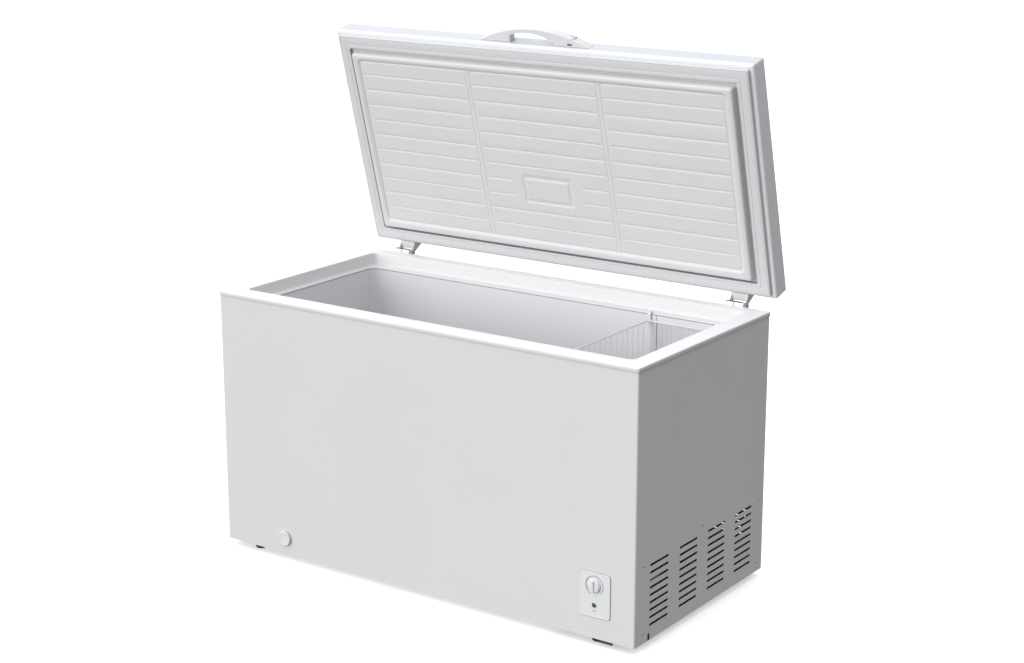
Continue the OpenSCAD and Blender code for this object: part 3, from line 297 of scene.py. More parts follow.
def add_mesh(name, verts, faces, opened):
    """A new mesh object with its points welded and its faces turned outward."""
    mesh = bpy.data.meshes.new(name)
    mesh.from_pydata([tuple(v) for v in verts], [], faces)
    build = bmesh.new()
    build.from_mesh(mesh)
    bmesh.ops.remove_doubles(build, verts=build.verts, dist=1e-6)
    bmesh.ops.recalc_face_normals(build, faces=build.faces)
    build.to_mesh(mesh)
    build.free()
    if opened:
        mesh.transform(OPEN)
    obj = bpy.data.objects.new(name, mesh)
    scene.collection.objects.link(obj)
    return obj


def piece(name, verts, faces, body, material, slot, smooth=30.0, opened=False):
    """A new mesh that rides on a body. An opened one is turned with the lid."""
    obj = add_mesh(name, verts, faces, opened)
    dress(obj, material, smooth)
    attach(obj, body)
    return obj


def dress(obj, material, smooth=30.0):
    """Gives an object its material, and smooth shading with sharp folds."""
    mesh = obj.data
    mesh.materials.clear()
    mesh.materials.append(material)
    mesh.shade_smooth()
    mesh.set_sharp_from_angle(angle=math.radians(smooth))


def bevel(obj, width, segments=3, angle=35.0):
    """Rounds an object's edges."""
    mod = obj.modifiers.new("edges", "BEVEL")
    mod.width = width
    mod.segments = segments
    mod.limit_method = "ANGLE"
    mod.angle_limit = math.radians(angle)
    mod.harden_normals = True
    mod.miter_outer = "MITER_ARC"


def cut(obj, solid, material):
    """Takes a solid out of one of the lid's pieces, and gives the new walls a material."""
    cutter = add_mesh("cutter", *solid, opened=True)
    cutter.data.materials.append(material)
    mod = obj.modifiers.new("cut", "BOOLEAN")
    mod.object = cutter
    mod.operation = "DIFFERENCE"
    mod.solver = "EXACT"
    mod.material_mode = "TRANSFER"
    graph = bpy.context.evaluated_depsgraph_get()
    obj.data = bpy.data.meshes.new_from_object(obj.evaluated_get(graph))
    obj.modifiers.clear()
    bpy.data.objects.remove(cutter)


def arc(cx, cy, r, a1, a2, steps):
    """Points on an arc, with angles in degrees."""
    return [
        (cx + r * math.cos(math.radians(a1 + (a2 - a1) * i / steps)),
         cy + r * math.sin(math.radians(a1 + (a2 - a1) * i / steps)))
        for i in range(steps + 1)
    ]


def ring(rect, grow, z, r, steps=8):
    """A level rounded rectangle: rect is (x1, x2, y1, y2), grown outward by grow."""
    x1, x2, y1, y2 = rect[0] - grow, rect[1] + grow, rect[2] - grow, rect[3] + grow
    r = max(r, 0.3 * MM)
    corners = ((x2 - r, y2 - r, 0), (x1 + r, y2 - r, 90), (x1 + r, y1 + r, 180),
               (x2 - r, y1 + r, 270))
    return [(x, y, z) for cx, cy, a in corners for x, y in arc(cx, cy, r, a, a + 90, steps)]


def loft(rings, wrap=False, cap_first=False, cap_last=False):
    """(points, faces) through equal rings. wrap joins the last ring to the first."""
    n = len(rings[0])
    verts = [p for r in rings for p in r]
    count = len(rings)
    faces = []
    for i in range(count if wrap else count - 1):
        a, b = i * n, ((i + 1) % count) * n
        for k in range(n):
            m = (k + 1) % n
            faces.append((a + k, a + m, b + m, b + k))
    if cap_first:
        faces.append(tuple(range(n - 1, -1, -1)))
    if cap_last:
        faces.append(tuple(range((count - 1) * n, count * n)))
    return verts, faces


def slab(rect, low, high, r=0.3 * MM, steps=2):
    """(points, faces) of a block with rounded corners over a rectangle, between two heights."""
    return loft([ring(rect, 0, z, r, steps) for z in (low, high)], cap_first=True, cap_last=True)


def merged(parts):
    """One (points, faces) from several."""
    verts, faces = [], []
    for v, f in parts:
        start = len(verts)
        verts.extend(v)
        faces.extend(tuple(i + start for i in face) for face in f)
    return verts, faces


def tube(points, radius, sides=10, closed=False):
    """(points, faces) of a round wire along a path."""
    path = [Vector(p) for p in points]
    n = len(path)
    rings = []
    side = None
    for i, p in enumerate(path):
        before = path[i - 1] if i or closed else p
        after = path[(i + 1) % n] if i < n - 1 or closed else p
        along = (after - before).normalized()
        if side is None:
            side = along.cross(Vector((0, 0, 1)))
            if side.length < 0.1:
                side = along.cross(Vector((1, 0, 0)))
        side = (side - along * side.dot(along)).normalized()
        up = along.cross(side)
        rings.append([
            tuple(p + radius * (math.cos(t) * side + math.sin(t) * up))
            for t in (2 * math.pi * k / sides for k in range(sides))
        ])
    return loft(rings, wrap=closed, cap_first=not closed, cap_last=not closed)


def lathe(profile, centre, axis, steps=48):
    """(points, faces) of a profile of (radius, distance along the axis) turned round an axis."""
    axis = Vector(axis).normalized()
    u = axis.orthogonal().normalized()
    w = axis.cross(u)
    centre = Vector(centre)
    rings = [
        [tuple(centre + axis * d + max(r, 0.01 * MM) * (math.cos(t) * u + math.sin(t) * w))
         for t in (2 * math.pi * k / steps for k in range(steps))]
        for r, d in profile
    ]
    return loft(rings, cap_first=True, cap_last=True)


def prism(outline, place):
    """(points, faces) of an outline between two levels. place(u, v, level) gives a point."""
    n = len(outline)
    verts = [place(u, v, 0) for u, v in outline] + [place(u, v, 1) for u, v in outline]
    faces = [(k, (k + 1) % n, (k + 1) % n + n, k + n) for k in range(n)]
    faces.append(tuple(range(n - 1, -1, -1)))
    faces.append(tuple(range(n, 2 * n)))
    return verts, faces


# ------------------------------------------------------------------------- main sizes

FLANGE_SIDE, FLANGE_FRONT, FLANGE_BACK = 53 * MM, 59.5 * MM, 48.5 * MM
THROAT_H, THROAT_LEAN = 35 * MM, 11 * MM
LEDGE_T = 4 * MM

wrap_lo, wrap_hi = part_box("cabinet_wrap")
collar_lo, collar_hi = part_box("rim_collar")
liner_lo, liner_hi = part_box("inner_liner")
LINER_T = 1.5 * MM
LINER_R = 30 * MM
SEAM_X, SEAM_W, SEAM_LOW = 396 * MM, 1.6 * MM, 345 * MM

OUTER = (collar_lo.x, collar_hi.x, collar_lo.y, collar_hi.y)
THROAT = (wrap_lo.x + FLANGE_SIDE, wrap_hi.x - FLANGE_SIDE,
          wrap_lo.y + FLANGE_FRONT, wrap_hi.y - FLANGE_BACK)
LINER = (liner_lo.x + LINER_T, liner_hi.x - LINER_T, liner_lo.y + LINER_T, liner_hi.y - LINER_T)
RIM_Z = collar_hi.z
LEDGE_Z = RIM_Z - THROAT_H


def make_rim():
    """The moulded frame: outer lip, flange, throat and the ledge, with the flange's top whiter as painted light
    and all below it greyer as painted shade.
    """
    edge, inner_edge, ledge_edge = 3.2 * MM, 3.0 * MM, 2.0 * MM
    corner = 7.5 * MM
    throat_r = 17 * MM
    lip_z = collar_lo.z + 26 * MM
    rings = [ring(OUTER, -2.2 * MM, lip_z, corner - 2.2 * MM),
             ring(OUTER, -0.8 * MM, lip_z, corner - 0.8 * MM),
             ring(OUTER, 0, lip_z + 0.8 * MM, corner)]
    for u, z in arc(-edge, RIM_Z - edge, edge, 0, 90, 5):
        rings.append(ring(OUTER, u, z, corner + u))
    for u, z in arc(inner_edge, RIM_Z - inner_edge, inner_edge, 90, 195, 6):
        rings.append(ring(THROAT, u, z, throat_r + u))
    foot = 4 * MM
    for u, z in arc(-THROAT_LEAN + foot * 0.8 - foot, LEDGE_Z + foot, foot, 17, -90, 5):
        rings.append(ring(THROAT, u, z, throat_r + u))
    for u, z in arc(ledge_edge, LEDGE_Z - ledge_edge, ledge_edge, 90, 180, 4):
        rings.append(ring(LINER, u, z, LINER_R + u))
    rings.append(ring(LINER, 0, LEDGE_Z - LEDGE_T, LINER_R))
    under = -THROAT_LEAN - 1 * MM
    rings.append(ring(THROAT, under, LEDGE_Z - LEDGE_T, throat_r + under))
    rings.append(ring(THROAT, 3 * MM, RIM_Z - 10 * MM, throat_r + 3 * MM))
    rings.append(ring(OUTER, -2.2 * MM, RIM_Z - 10 * MM, corner - 2.2 * MM))
    verts, faces = loft(rings, wrap=True)
    obj = piece("rim_frame", verts, faces, "cabinet", COLLAR_PAINTED_LIGHT, "white_plastic", 50.0)
    # Every face below the flange's top takes the greyer copy: painted shade.
    obj.data.materials.append(COLLAR_PAINTED_SHADE)
    for face in obj.data.polygons:
        face.material_index = int(face.center.z < RIM_Z - 0.8 * MM)
    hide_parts("rim_collar")


make_rim()


# ---------------------------------------------------------------------------- the lid

shell_lo, shell_hi = shut_box("lid_shell")
field_lo = shut_box("lid_liner")[0]
gasket_lo, gasket_hi = shut_box("lid_gasket")
LID = (shell_lo.x, shell_hi.x, shell_lo.y, shell_hi.y)
LID_Z = shell_lo.z
PLUG_H = LID_Z - field_lo.z
PLUG = (THROAT[0] + 4 * MM, THROAT[1] - 4 * MM, THROAT[2] + 2 * MM, THROAT[3] - 7 * MM)
LID_RETURN = 12 * MM


def make_lid_shell():
    """The lid's painted pan with its bent edges and folded return; its front face takes a darker bluish copy of
    the paint as painted shade, the rest a lighter copy as painted light.
    """
    bend, top = 8 * MM, 2 * MM
    rings = [ring(LID, -LID_RETURN - 6 * MM, LID_Z + 1 * MM, 4 * MM),
             ring(LID, -LID_RETURN, LID_Z + 1 * MM, 4 * MM),
             ring(LID, -LID_RETURN, LID_Z, 4 * MM)]
    for u, z in arc(-bend, LID_Z + bend, bend, 270, 360, 6):
        rings.append(ring(LID, u, z, 5.5 * MM + u * 0.6))
    for u, z in arc(-top, shell_hi.z - top, top, 0, 90, 6):
        rings.append(ring(LID, u, z, 5.5 * MM + u * 0.6))
    verts, faces = loft(rings, cap_first=True, cap_last=True)
    obj = piece("lid_pan", verts, faces, "lid", LID_PAINT_PAINTED_LIGHT, "white_paint", 40.0, opened=True)
    # The flat front face above the lower bend takes the darker copy: painted shade.
    obj.data.materials.append(LID_FRONT_PAINTED_SHADE)
    for face in obj.data.polygons:
        local = SHUT @ face.center
        face.material_index = int(local.y < LID[2] + 0.5 * MM and local.z > LID_Z + bend - MM)
    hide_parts("lid_shell")


make_lid_shell()

# The sunk panels of the lid's inner face, their ribs, and the pressed frame in the middle
PANELS = (PLUG[0] + 29 * MM, PLUG[1] - 29 * MM, PLUG[2] + 24.5 * MM, PLUG[3] - 32 * MM)
MID_PANEL = 217 * MM
PANEL_GAP = 14.5 * MM
PANEL_DEPTH = 4.4 * MM
STEP_W = 11 * MM
EDGE_HALF, EDGE_DEPTH = 3.6 * MM, 1.4 * MM
RIB_COUNT = 10
RIB_PITCH = 48.4 * MM
RIB_FIRST = PANELS[2] + 43 * MM
RIB_HALF, RIB_DEPTH = 3.8 * MM, 1.4 * MM
EMBLEM = (-86 * MM, 86 * MM, 48.5 * MM, 139.5 * MM)
EMBLEM_W = 15 * MM
EMBLEM_DEPTH = 1.9 * MM
EMBLEM_SLOPE = 4 * MM
EMBLEM_CLEAR = 120 * MM
PANEL_RECTS = (
    (PANELS[0], -MID_PANEL - PANEL_GAP, PANELS[2], PANELS[3]),
    (-MID_PANEL, MID_PANEL, PANELS[2], PANELS[3]),
    (MID_PANEL + PANEL_GAP, PANELS[1], PANELS[2], PANELS[3]),
)
RIBS = [RIB_FIRST + i * RIB_PITCH for i in range(RIB_COUNT)]


def inside(x, y, rect, r):
    """How far a point is inside a rounded rectangle."""
    cx, cy = (rect[0] + rect[1]) / 2, (rect[2] + rect[3]) / 2
    qx = np.abs(x - cx) - (rect[1] - rect[0]) / 2 + r
    qy = np.abs(y - cy) - (rect[3] - rect[2]) / 2 + r
    outside = np.hypot(np.maximum(qx, 0), np.maximum(qy, 0)) + np.minimum(np.maximum(qx, qy), 0)
    return r - outside


def ease(t):
    """A soft step from 0 to 1."""
    t = np.clip(t, 0.0, 1.0)
    return t * t * (3 - 2 * t)


def groove(distance, half, depth):
    """Depth of a round-bottomed groove at a distance from its line."""
    t = np.clip(np.abs(distance) / half, 0.0, 1.0)
    return depth * 0.5 * (1 + np.cos(math.pi * t)) * (t < 1)


def field_height(x, y):
    """How far the liner's raised field stands out from the lid's lower face."""
    s = inside(x, y, PLUG, 9 * MM)
    wall, crown, shoulder = 3.2 * MM, 9 * MM, 4.6 * MM
    height = np.clip(s / wall, 0, 1) * (PLUG_H - shoulder)
    turn = np.clip((s - wall) / crown, 0, 1)
    height = height + shoulder * np.sqrt(1 - (1 - turn) ** 2)
    height = height - PANEL_DEPTH * ease(inside(x, y, PANELS, 10 * MM) / STEP_W + 1)
    ribs = np.zeros_like(x)
    for at in RIBS:
        cut = groove(y - at, RIB_HALF, RIB_DEPTH)
        if EMBLEM[2] < at < EMBLEM[3]:
            cut = cut * ease((np.abs(x) - EMBLEM_CLEAR) / (3 * MM))
        ribs = np.maximum(ribs, cut)
    pressed = np.zeros_like(x)
    for rect in PANEL_RECTS:
        d = inside(x, y, rect, 9 * MM)
        pressed = np.maximum(pressed, groove(d, EDGE_HALF, EDGE_DEPTH))
        pressed = np.maximum(pressed, ribs * ease((d - 3.5 * MM) / (4 * MM)))
    d = inside(x, y, EMBLEM, 4 * MM)
    channel = ease(d / EMBLEM_SLOPE) * ease((EMBLEM_W - d) / EMBLEM_SLOPE)
    return height - pressed - EMBLEM_DEPTH * channel


def dense(start, end, step):
    """Evenly spaced values from start to end."""
    count = max(2, round(abs(end - start) / step) + 1)
    return np.linspace(start, end, count)


def field_lines(low, high, edges, frame_edges, lid_low, lid_high, panel_low, panel_high):
    """Grid lines across the lid's inner face, close together wherever it bends."""
    lines = [dense(lid_low, lid_high, 14 * MM),
             dense(low, low + 13 * MM, 0.8 * MM), dense(high - 13 * MM, high, 0.8 * MM),
             dense(panel_low - STEP_W, panel_low, 1.5 * MM),
             dense(panel_high, panel_high + STEP_W, 1.5 * MM)]
    lines += [dense(at - EDGE_HALF, at + EDGE_HALF, 0.95 * MM) for at in edges]
    for outer, way in zip(frame_edges, (1, -1)):
        lines += [dense(outer, outer + way * EMBLEM_SLOPE, 1 * MM),
                  dense(outer + way * (EMBLEM_W - EMBLEM_SLOPE), outer + way * EMBLEM_W, 1 * MM)]
    return lines


def make_lid_liner():
    """The lid's formed inner face: raised field, three panels, grooves and pressed frame."""
    x_edges = [x for rect in PANEL_RECTS for x in rect[:2]]
    xs = field_lines(PLUG[0], PLUG[1], x_edges, EMBLEM[:2], LID[0] + LID_RETURN,
                     LID[1] - LID_RETURN, PANELS[0], PANELS[1])
    xs += [dense(s * EMBLEM_CLEAR, s * (EMBLEM_CLEAR + 3 * MM), 1 * MM) for s in (-1, 1)]
    ys = field_lines(PLUG[2], PLUG[3], PANELS[2:] + tuple(RIBS), EMBLEM[2:], LID[2] + LID_RETURN,
                     LID[3] - LID_RETURN, PANELS[2], PANELS[3])
    xs, ys = thinned(np.concatenate(xs)), thinned(np.concatenate(ys))
    gx, gy = np.meshgrid(xs, ys)
    gz = LID_Z - field_height(gx, gy)
    columns, rows = len(xs), len(ys)
    verts = np.stack([gx.ravel(), gy.ravel(), gz.ravel()], axis=1)
    faces = [(j * columns + i, j * columns + i + 1, (j + 1) * columns + i + 1,
              (j + 1) * columns + i) for j in range(rows - 1) for i in range(columns - 1)]
    obj = piece("lid_inner_face", verts, faces, "lid", LID_LINER, "lid_liner_plastic", 60.0,
                opened=True)
    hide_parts("lid_liner")


def thinned(values, least=0.35 * MM):
    """Sorted values, without those closer than least to the one before."""
    kept = []
    for v in np.sort(values):
        if not kept or v - kept[-1] > least:
            kept.append(v)
    return np.array(kept)


make_lid_liner()


def make_gasket():
    """The soft gasket: bellows wall, banded face and the flap beside the raised field."""
    outer = (gasket_lo.x, gasket_hi.x, gasket_lo.y, gasket_hi.y)
    height = gasket_hi.z - gasket_lo.z
    face = [(0.3, 0.0), (0.0, 0.12), (1.2, 0.22), (1.2, 0.3), (0.0, 0.42), (0.0, 0.76),
            (0.4, 0.9), (1.2, 0.98), (2.6, 1.0), (3.6, 0.98), (4.2, 0.86), (4.9, 0.98),
            (6.0, 1.0), (14.0, 1.0), (24.0, 1.0), (25.2, 0.98), (26.0, 0.84), (26.8, 0.95),
            (28.2, 0.98)]
    flap = [(13.0, 0.97), (11.0, 0.94), (9.5, 0.86), (8.8, 0.7), (8.6, 0.4), (8.6, 0.0)]
    rings = [ring(outer, -s * MM, LID_Z - t * height, max(5.0 - 0.1 * s, 1.5) * MM, 5)
             for s, t in face]
    rings += [ring(PLUG, s * MM, LID_Z - t * height, 4.0 * MM, 5) for s, t in flap]
    verts, faces = loft(rings, wrap=True)
    obj = piece("lid_seal", verts, faces, "lid", GASKET, "gasket", 45.0, opened=True)
    # The flap's inner wall beside the raised field is grey: painted shade in the gap.
    obj.data.materials.append(PAINTED_SHADE_GREY)
    for polygon in obj.data.polygons:
        x, y, z = SHUT @ polygon.center
        near = inside(x, y, PLUG, 4 * MM) > -9.2 * MM
        polygon.material_index = int(near and z > LID_Z - 0.85 * height)
    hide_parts("lid_gasket")


make_gasket()

# The handle's length, reach, height, and how far it reaches below the lock
HANDLE_L, HANDLE_OUT, HANDLE_H, HANDLE_DROP = 380 * MM, 44 * MM, 27 * MM, 14 * MM
GRIP = (-80 * MM, 78 * MM)
GRIP_MID, GRIP_OUT = -20 * MM, 31 * MM
POCKET_GAP = 0.6 * MM
LOCK_AXIS = SHUT @ Vector(joints["lock_turn"]["pos_m"])


def sagitta_arc(x, half, out, x1, x2, steps):
    """Points from x1 to x2 on the arc that stands out by out at x and reaches 0 at x +- half."""
    r = (half * half + out * out) / (2 * out)
    return [(a, math.sqrt(max(r * r - (a - x) ** 2, 0)) - r + out)
            for a in np.linspace(x1, x2, steps + 1)]


def make_handle():
    """The arched handle with its finger opening, the lock's boss and the lever's pocket."""
    tongue_lo, tongue_hi = shut_box("lock_tongue")
    z1 = LOCK_AXIS.z - HANDLE_DROP
    half = HANDLE_L / 2
    outline = sagitta_arc(0, half, HANDLE_OUT, -half, half, 40)
    grip = sagitta_arc(GRIP_MID, GRIP[1] - GRIP_MID, GRIP_OUT, GRIP[0] + 7 * MM, GRIP[1], 24)
    left = [(GRIP[0], 0.0), (GRIP[0] + 0.3 * MM, 14 * MM), (GRIP[0] + 2.2 * MM, 19.5 * MM)]
    outline += list(reversed(left + grip))
    front = LID[2]

    def place(u, v, level):
        return (u, front - v, z1 + HANDLE_H * level)

    bar = piece("handle_arch", *prism(outline, place), "lid", WHITE_PLASTIC, "white_plastic",
                40.0, opened=True)
    bevel(bar, 3.2 * MM, 4, 50.0)
    room = (tongue_lo.x - 2 * MM, tongue_hi.x + MM, z1 + 1.6 * MM, tongue_hi.z + MM)
    mouth = (LOCK_AXIS.x - 12 * MM, LOCK_AXIS.x + 4.6 * MM, z1 - MM, z1 + 2 * MM)
    # The pocket's walls are cut with the near-black material: painted shade in the pocket.
    for x1, x2, low, high in (room, mouth):
        pocket = (x1, x2, tongue_lo.y - POCKET_GAP, tongue_hi.y + POCKET_GAP)
        cut(bar, slab(pocket, low, high, 0.8 * MM, 3), POCKET_PAINTED_SHADE)
    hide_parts("lid_handle")
    boss_profile = [(13.0, 10.0), (13.0, 24.0), (12.2, 26.4), (10.4, 27.6), (9.0, 27.8),
                    (8.3, 27.2), (8.2, 20.0)]
    boss = lathe([(r * MM, d * MM) for r, d in boss_profile],
                 (LOCK_AXIS.x, front, LOCK_AXIS.z), (0, -1, 0), 40)
    piece("lock_boss", *boss, "lid", WHITE_PLASTIC, "white_plastic", 40.0, opened=True)


make_handle()


# ------------------------------------------------------------------------- the basket

def make_basket():
    """The hanging basket of coated wire: frames, close uprights, floor and ledge hooks."""
    lo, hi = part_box("wire_basket")
    top = LEDGE_Z - 20 * MM
    y1, y2 = LINER[2] + 5 * MM, LINER[3] - 5 * MM
    frame_r, wire_r = 2.5 * MM, 1.3 * MM
    left_r, right_r = 10 * MM, 26 * MM

    def loop(inset, z):
        x1, x2, a, b = lo.x + inset, hi.x - inset, y1 + inset, y2 - inset
        points = (arc(x2 - right_r, b - right_r, right_r, 0, 90, 6)
                  + arc(x1 + left_r, b - left_r, left_r, 90, 180, 4)
                  + arc(x1 + left_r, a + left_r, left_r, 180, 270, 4)
                  + arc(x2 - right_r, a + right_r, right_r, 270, 360, 6))
        return [(x, y, z) for x, y in points]

    parts = [tube(loop(frame_r, top - frame_r), frame_r, 12, True),
             tube(loop(frame_r + 3 * MM, lo.z + frame_r + 2.6 * MM), frame_r, 12, True)]
    inner = frame_r + 2.2 * MM
    x1, x2, a, b = lo.x + inner, hi.x - inner, y1 + inner, y2 - inner
    floor = lo.z + wire_r

    def strand(p, q):
        """A wire down one wall, across the floor and up the other wall."""
        bend = 8 * MM
        p, q = Vector(p), Vector(q)
        across = (q - p).normalized()
        down = Vector((0, 0, -1))
        path = [p]
        for u, v in arc(bend, bend, bend, 180, 270, 3):
            path.append(Vector((p.x, p.y, floor)) + across * u - down * v)
        for u, v in reversed(arc(bend, bend, bend, 180, 270, 3)):
            path.append(Vector((q.x, q.y, floor)) - across * u - down * v)
        path.append(q)
        return tube(path, wire_r, 6)

    wire_top = top - frame_r
    count = round((y2 - y1 - 2 * right_r) / (29.0 * MM))
    for y in np.linspace(y1 + right_r + 4 * MM, y2 - right_r - 4 * MM, count + 1):
        parts.append(strand((x1, y, wire_top), (x2, y, wire_top)))
    count = round((hi.x - lo.x - left_r - right_r) / (15.0 * MM))
    for x in np.linspace(lo.x + left_r + 4 * MM, hi.x - right_r - 4 * MM, count + 1):
        parts.append(strand((x, a, wire_top), (x, b, wire_top)))
    verts, faces = merged(parts)
    obj = piece("basket_wires", verts, faces, "basket", WIRE_COAT, "wire_coat", 50.0)
    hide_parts("wire_basket")
    hook_parts = []
    hook_w = 10 * MM
    for x in (lo.x, hi.x - LINER_R - hook_w):
        for wall, out, way in ((y2 - 1 * MM, hi.y, 1), (y1 + 1 * MM, lo.y, -1)):
            hook_parts.append(hook_strip(x, x + hook_w, wall, out, way, top))
    piece("basket_hooks", *merged(hook_parts), "basket", WIRE_COAT, "wire_coat", 50.0)


def hook_strip(x1, x2, wall, out, way, top):
    """A flat coated hook: up from the frame, round, and out over the ledge."""
    t, bend = 2.4 * MM, 5 * MM
    z = LEDGE_Z + 0.4 * MM + t / 2
    centre = [(wall, top - 18 * MM)]
    centre += [(wall + way * bend * (1 - math.cos(a)), z - bend + bend * math.sin(a))
               for a in (math.radians(d) for d in range(0, 91, 15))]
    centre.append((out - way * 0.6 * MM, z))
    outline = []
    for side in (1, -1):
        line = centre if side == 1 else list(reversed(centre))
        for i, p in enumerate(line):
            before, after = line[max(i - 1, 0)], line[min(i + 1, len(line) - 1)]
            dy, dz = after[0] - before[0], after[1] - before[1]
            size = math.hypot(dy, dz)
            outline.append((p[0] - dz / size * t / 2, p[1] + dy / size * t / 2))
    return prism(outline, lambda u, v, level: (x1 + (x2 - x1) * level, u, v))


make_basket()


# ------------------------------------------------------------------- controls and drain

KNOB_AT = Vector(joints["knob_turn"]["pos_m"])


def make_knob():
    """The knob: a turned skirt with fine flutes and a tapered grip across it."""
    lo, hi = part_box("thermostat_knob")
    radius = (hi.x - lo.x) / 2
    back = hi.y
    flutes, steps = 36, 144
    profile = [(0.93, 0.0), (1.0, 0.5), (1.0, 2.2), (0.97, 2.8), (0.9, 3.1), (0.885, 5.6),
               (0.86, 6.2), (0.8, 6.5), (0.0, 6.5)]
    centre = Vector((KNOB_AT.x, back, KNOB_AT.z))
    rings = []
    for share, d in profile:
        row = []
        for k in range(steps):
            t = 2 * math.pi * k / steps
            r = radius * share
            if 3.0 < d < 6.0:
                r *= 1 - 0.012 * (0.5 + 0.5 * math.cos(flutes * t))
            r = max(r, 0.01 * MM)
            row.append((centre.x + r * math.cos(t), centre.y - d * MM, centre.z + r * math.sin(t)))
        rings.append(row)
    skirt = loft(rings, cap_first=True, cap_last=True)
    piece("knob_skirt", *skirt, "knob", WHITE_PLASTIC, "white_plastic", 40.0)
    half_z = radius - 3 * MM
    base_y, tip_y = back - 5 * MM, lo.y + 1.5 * MM
    grip = []
    for y, half_w, half_h in ((base_y, 3.5 * MM, half_z), (tip_y, 2.4 * MM, half_z - 1.2 * MM)):
        grip.append([(centre.x + u, y, centre.z + v) for u, v in
                     ((half_w, half_h), (-half_w, half_h), (-half_w, -half_h), (half_w, -half_h))])
    obj = piece("knob_grip", *loft(grip, cap_first=True, cap_last=True), "knob",
                WHITE_PLASTIC, "white_plastic", 40.0)
    bevel(obj, 1.2 * MM, 4)
    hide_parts("thermostat_knob")
    mark = (centre.x - 0.6 * MM, centre.x + 0.6 * MM, tip_y, tip_y + 0.6 * MM)
    piece("knob_mark", *slab(mark, centre.z + half_z * 0.45, centre.z + half_z - 1.4 * MM), "knob",
          PRINT, "white_plastic", 40.0)


make_knob()


def flat_band(centre, y, inner, outer, a1, a2, steps=40, thick=0.25 * MM):
    """(points, faces) of a thin band round a centre on the front, from angle a1 to a2."""
    rings = []
    for i in range(steps + 1):
        t = math.radians(a1 + (a2 - a1) * i / steps)
        r1, r2 = inner(i / steps), outer(i / steps)
        c, s = math.cos(t), math.sin(t)
        rings.append([(centre.x + r1 * c, y, centre.z + r1 * s),
                      (centre.x + r2 * c, y, centre.z + r2 * s),
                      (centre.x + r2 * c, y - thick, centre.z + r2 * s),
                      (centre.x + r1 * c, y - thick, centre.z + r1 * s)])
    return loft(rings, cap_first=True, cap_last=True)


def make_panel():
    """The bezel with its rounded edge and a grey ring round it as a painted shadow line, the dial's bands and the
    dash under the lamp.
    """
    lo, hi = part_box("control_panel")
    bezel = (lo.x, hi.x, lo.z, hi.z)
    face = lo.y
    steps = 8
    corner = 9 * MM
    levels = [(0.0, hi.y - 5 * MM), (0.0, face + 1.2 * MM)]
    levels += [(-u, v) for u, v in ((0.2 * MM, face + 0.55 * MM), (0.6 * MM, face + 0.15 * MM),
                                    (1.2 * MM, face))]
    levels += [(-3.2 * MM, face), (-3.6 * MM, face + 0.25 * MM), (-4.2 * MM, face + 0.25 * MM)]
    rings = []
    for grow, y in levels:
        rings.append([(x, y, z) for x, z, _ in ring(bezel, grow, 0, corner + grow, steps)])
    obj = piece("panel_bezel", *loft(rings, cap_first=True, cap_last=True), "cabinet",
                WHITE_PLASTIC, "white_plastic", 35.0)
    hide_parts("control_panel")
    # A thin grey ring just larger than the bezel, against the front sheet: painted shade round the bezel.
    edge = [[(x, y, z) for x, z, _ in ring(bezel, 1.5 * MM, 0, corner + 1.5 * MM, steps)]
            for y in (wrap_lo.y + 0.5 * MM, wrap_lo.y - 0.35 * MM)]
    piece("panel_painted_shade_ring", *loft(edge, cap_first=True, cap_last=True), "cabinet", PAINTED_SHADE_GREY, "black_rubber")
    centre = Vector((KNOB_AT.x, 0, KNOB_AT.z))
    inset_face = face + 0.26 * MM
    ring_r = 26.2 * MM
    bands = [
        flat_band(centre, inset_face, lambda t: ring_r, lambda t: ring_r + 1.3 * MM, -42, 244, 72),
        flat_band(centre, inset_face, lambda t: ring_r - (0.4 + 3.4 * t) * MM,
                  lambda t: ring_r - 2.8 * t * MM, 118, 215, 30),
    ]
    piece("dial_print", *merged(bands), "cabinet", PRINT, "white_plastic", 40.0)
    dash = (centre.x - 6.5 * MM, centre.x + 6.5 * MM, inset_face - 0.25 * MM, inset_face)
    piece("lamp_dash", *slab(dash, lo.z + 17.3 * MM, lo.z + 18.5 * MM, steps=1), "cabinet", PRINT,
          "white_plastic", 40.0)


make_panel()


def make_lamp():
    """The pilot lamp: a pale collar round a dark green domed lens."""
    lo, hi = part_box("pilot_lamp")
    centre = ((lo.x + hi.x) / 2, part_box("control_panel")[0].y, (lo.z + hi.z) / 2)
    lens_r = 6.6
    collar = [(lens_r, -2.0), (7.6, -2.0), (7.6, 0.9), (7.3, 1.3), (6.9, 1.4), (lens_r, 1.0),
              (lens_r, 0.4)]
    dome = [(lens_r, -6.0), (lens_r, 1.2)] + [(lens_r * math.cos(a), 1.2 + 2.2 * math.sin(a))
                                              for a in np.linspace(0.15, math.pi / 2, 7)]
    for name, profile, material, slot in (
            ("lamp_collar", collar, WHITE_PLASTIC, "white_plastic"),
            ("lamp_lens", dome, GREEN_LENS, "green_lens")):
        obj = piece(name, *lathe([(r * MM, d * MM) for r, d in profile], centre, (0, -1, 0), 40),
                    "cabinet", material, slot, 40.0)
    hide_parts("pilot_lamp")


make_lamp()


def make_side_notch_shade():
    """A black block that fills the notch at the foot of the side: painted shade in the notch."""
    rect = (wrap_hi.x - MM, wrap_hi.x + 0.3 * MM, -283 * MM, -273 * MM)
    piece("side_notch_painted_shade", *slab(rect, 20.5 * MM, 38 * MM), "cabinet", BLACK_PLASTIC, "black_plastic")


make_side_notch_shade()


def make_hinge_gap_shade():
    """A thin black strip between each hinge bracket and the back of the rim: painted shade in the gap."""
    for side in ("left", "right"):
        lo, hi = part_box("hinge_bracket_" + side)
        rect = (lo.x + 3 * MM, hi.x - 3 * MM, 355.6 * MM, 356.4 * MM)
        piece("hinge_gap_shade_" + side, *slab(rect, 760 * MM, hi.z + 1.6 * MM), "cabinet", RUBBER,
              "black_rubber")


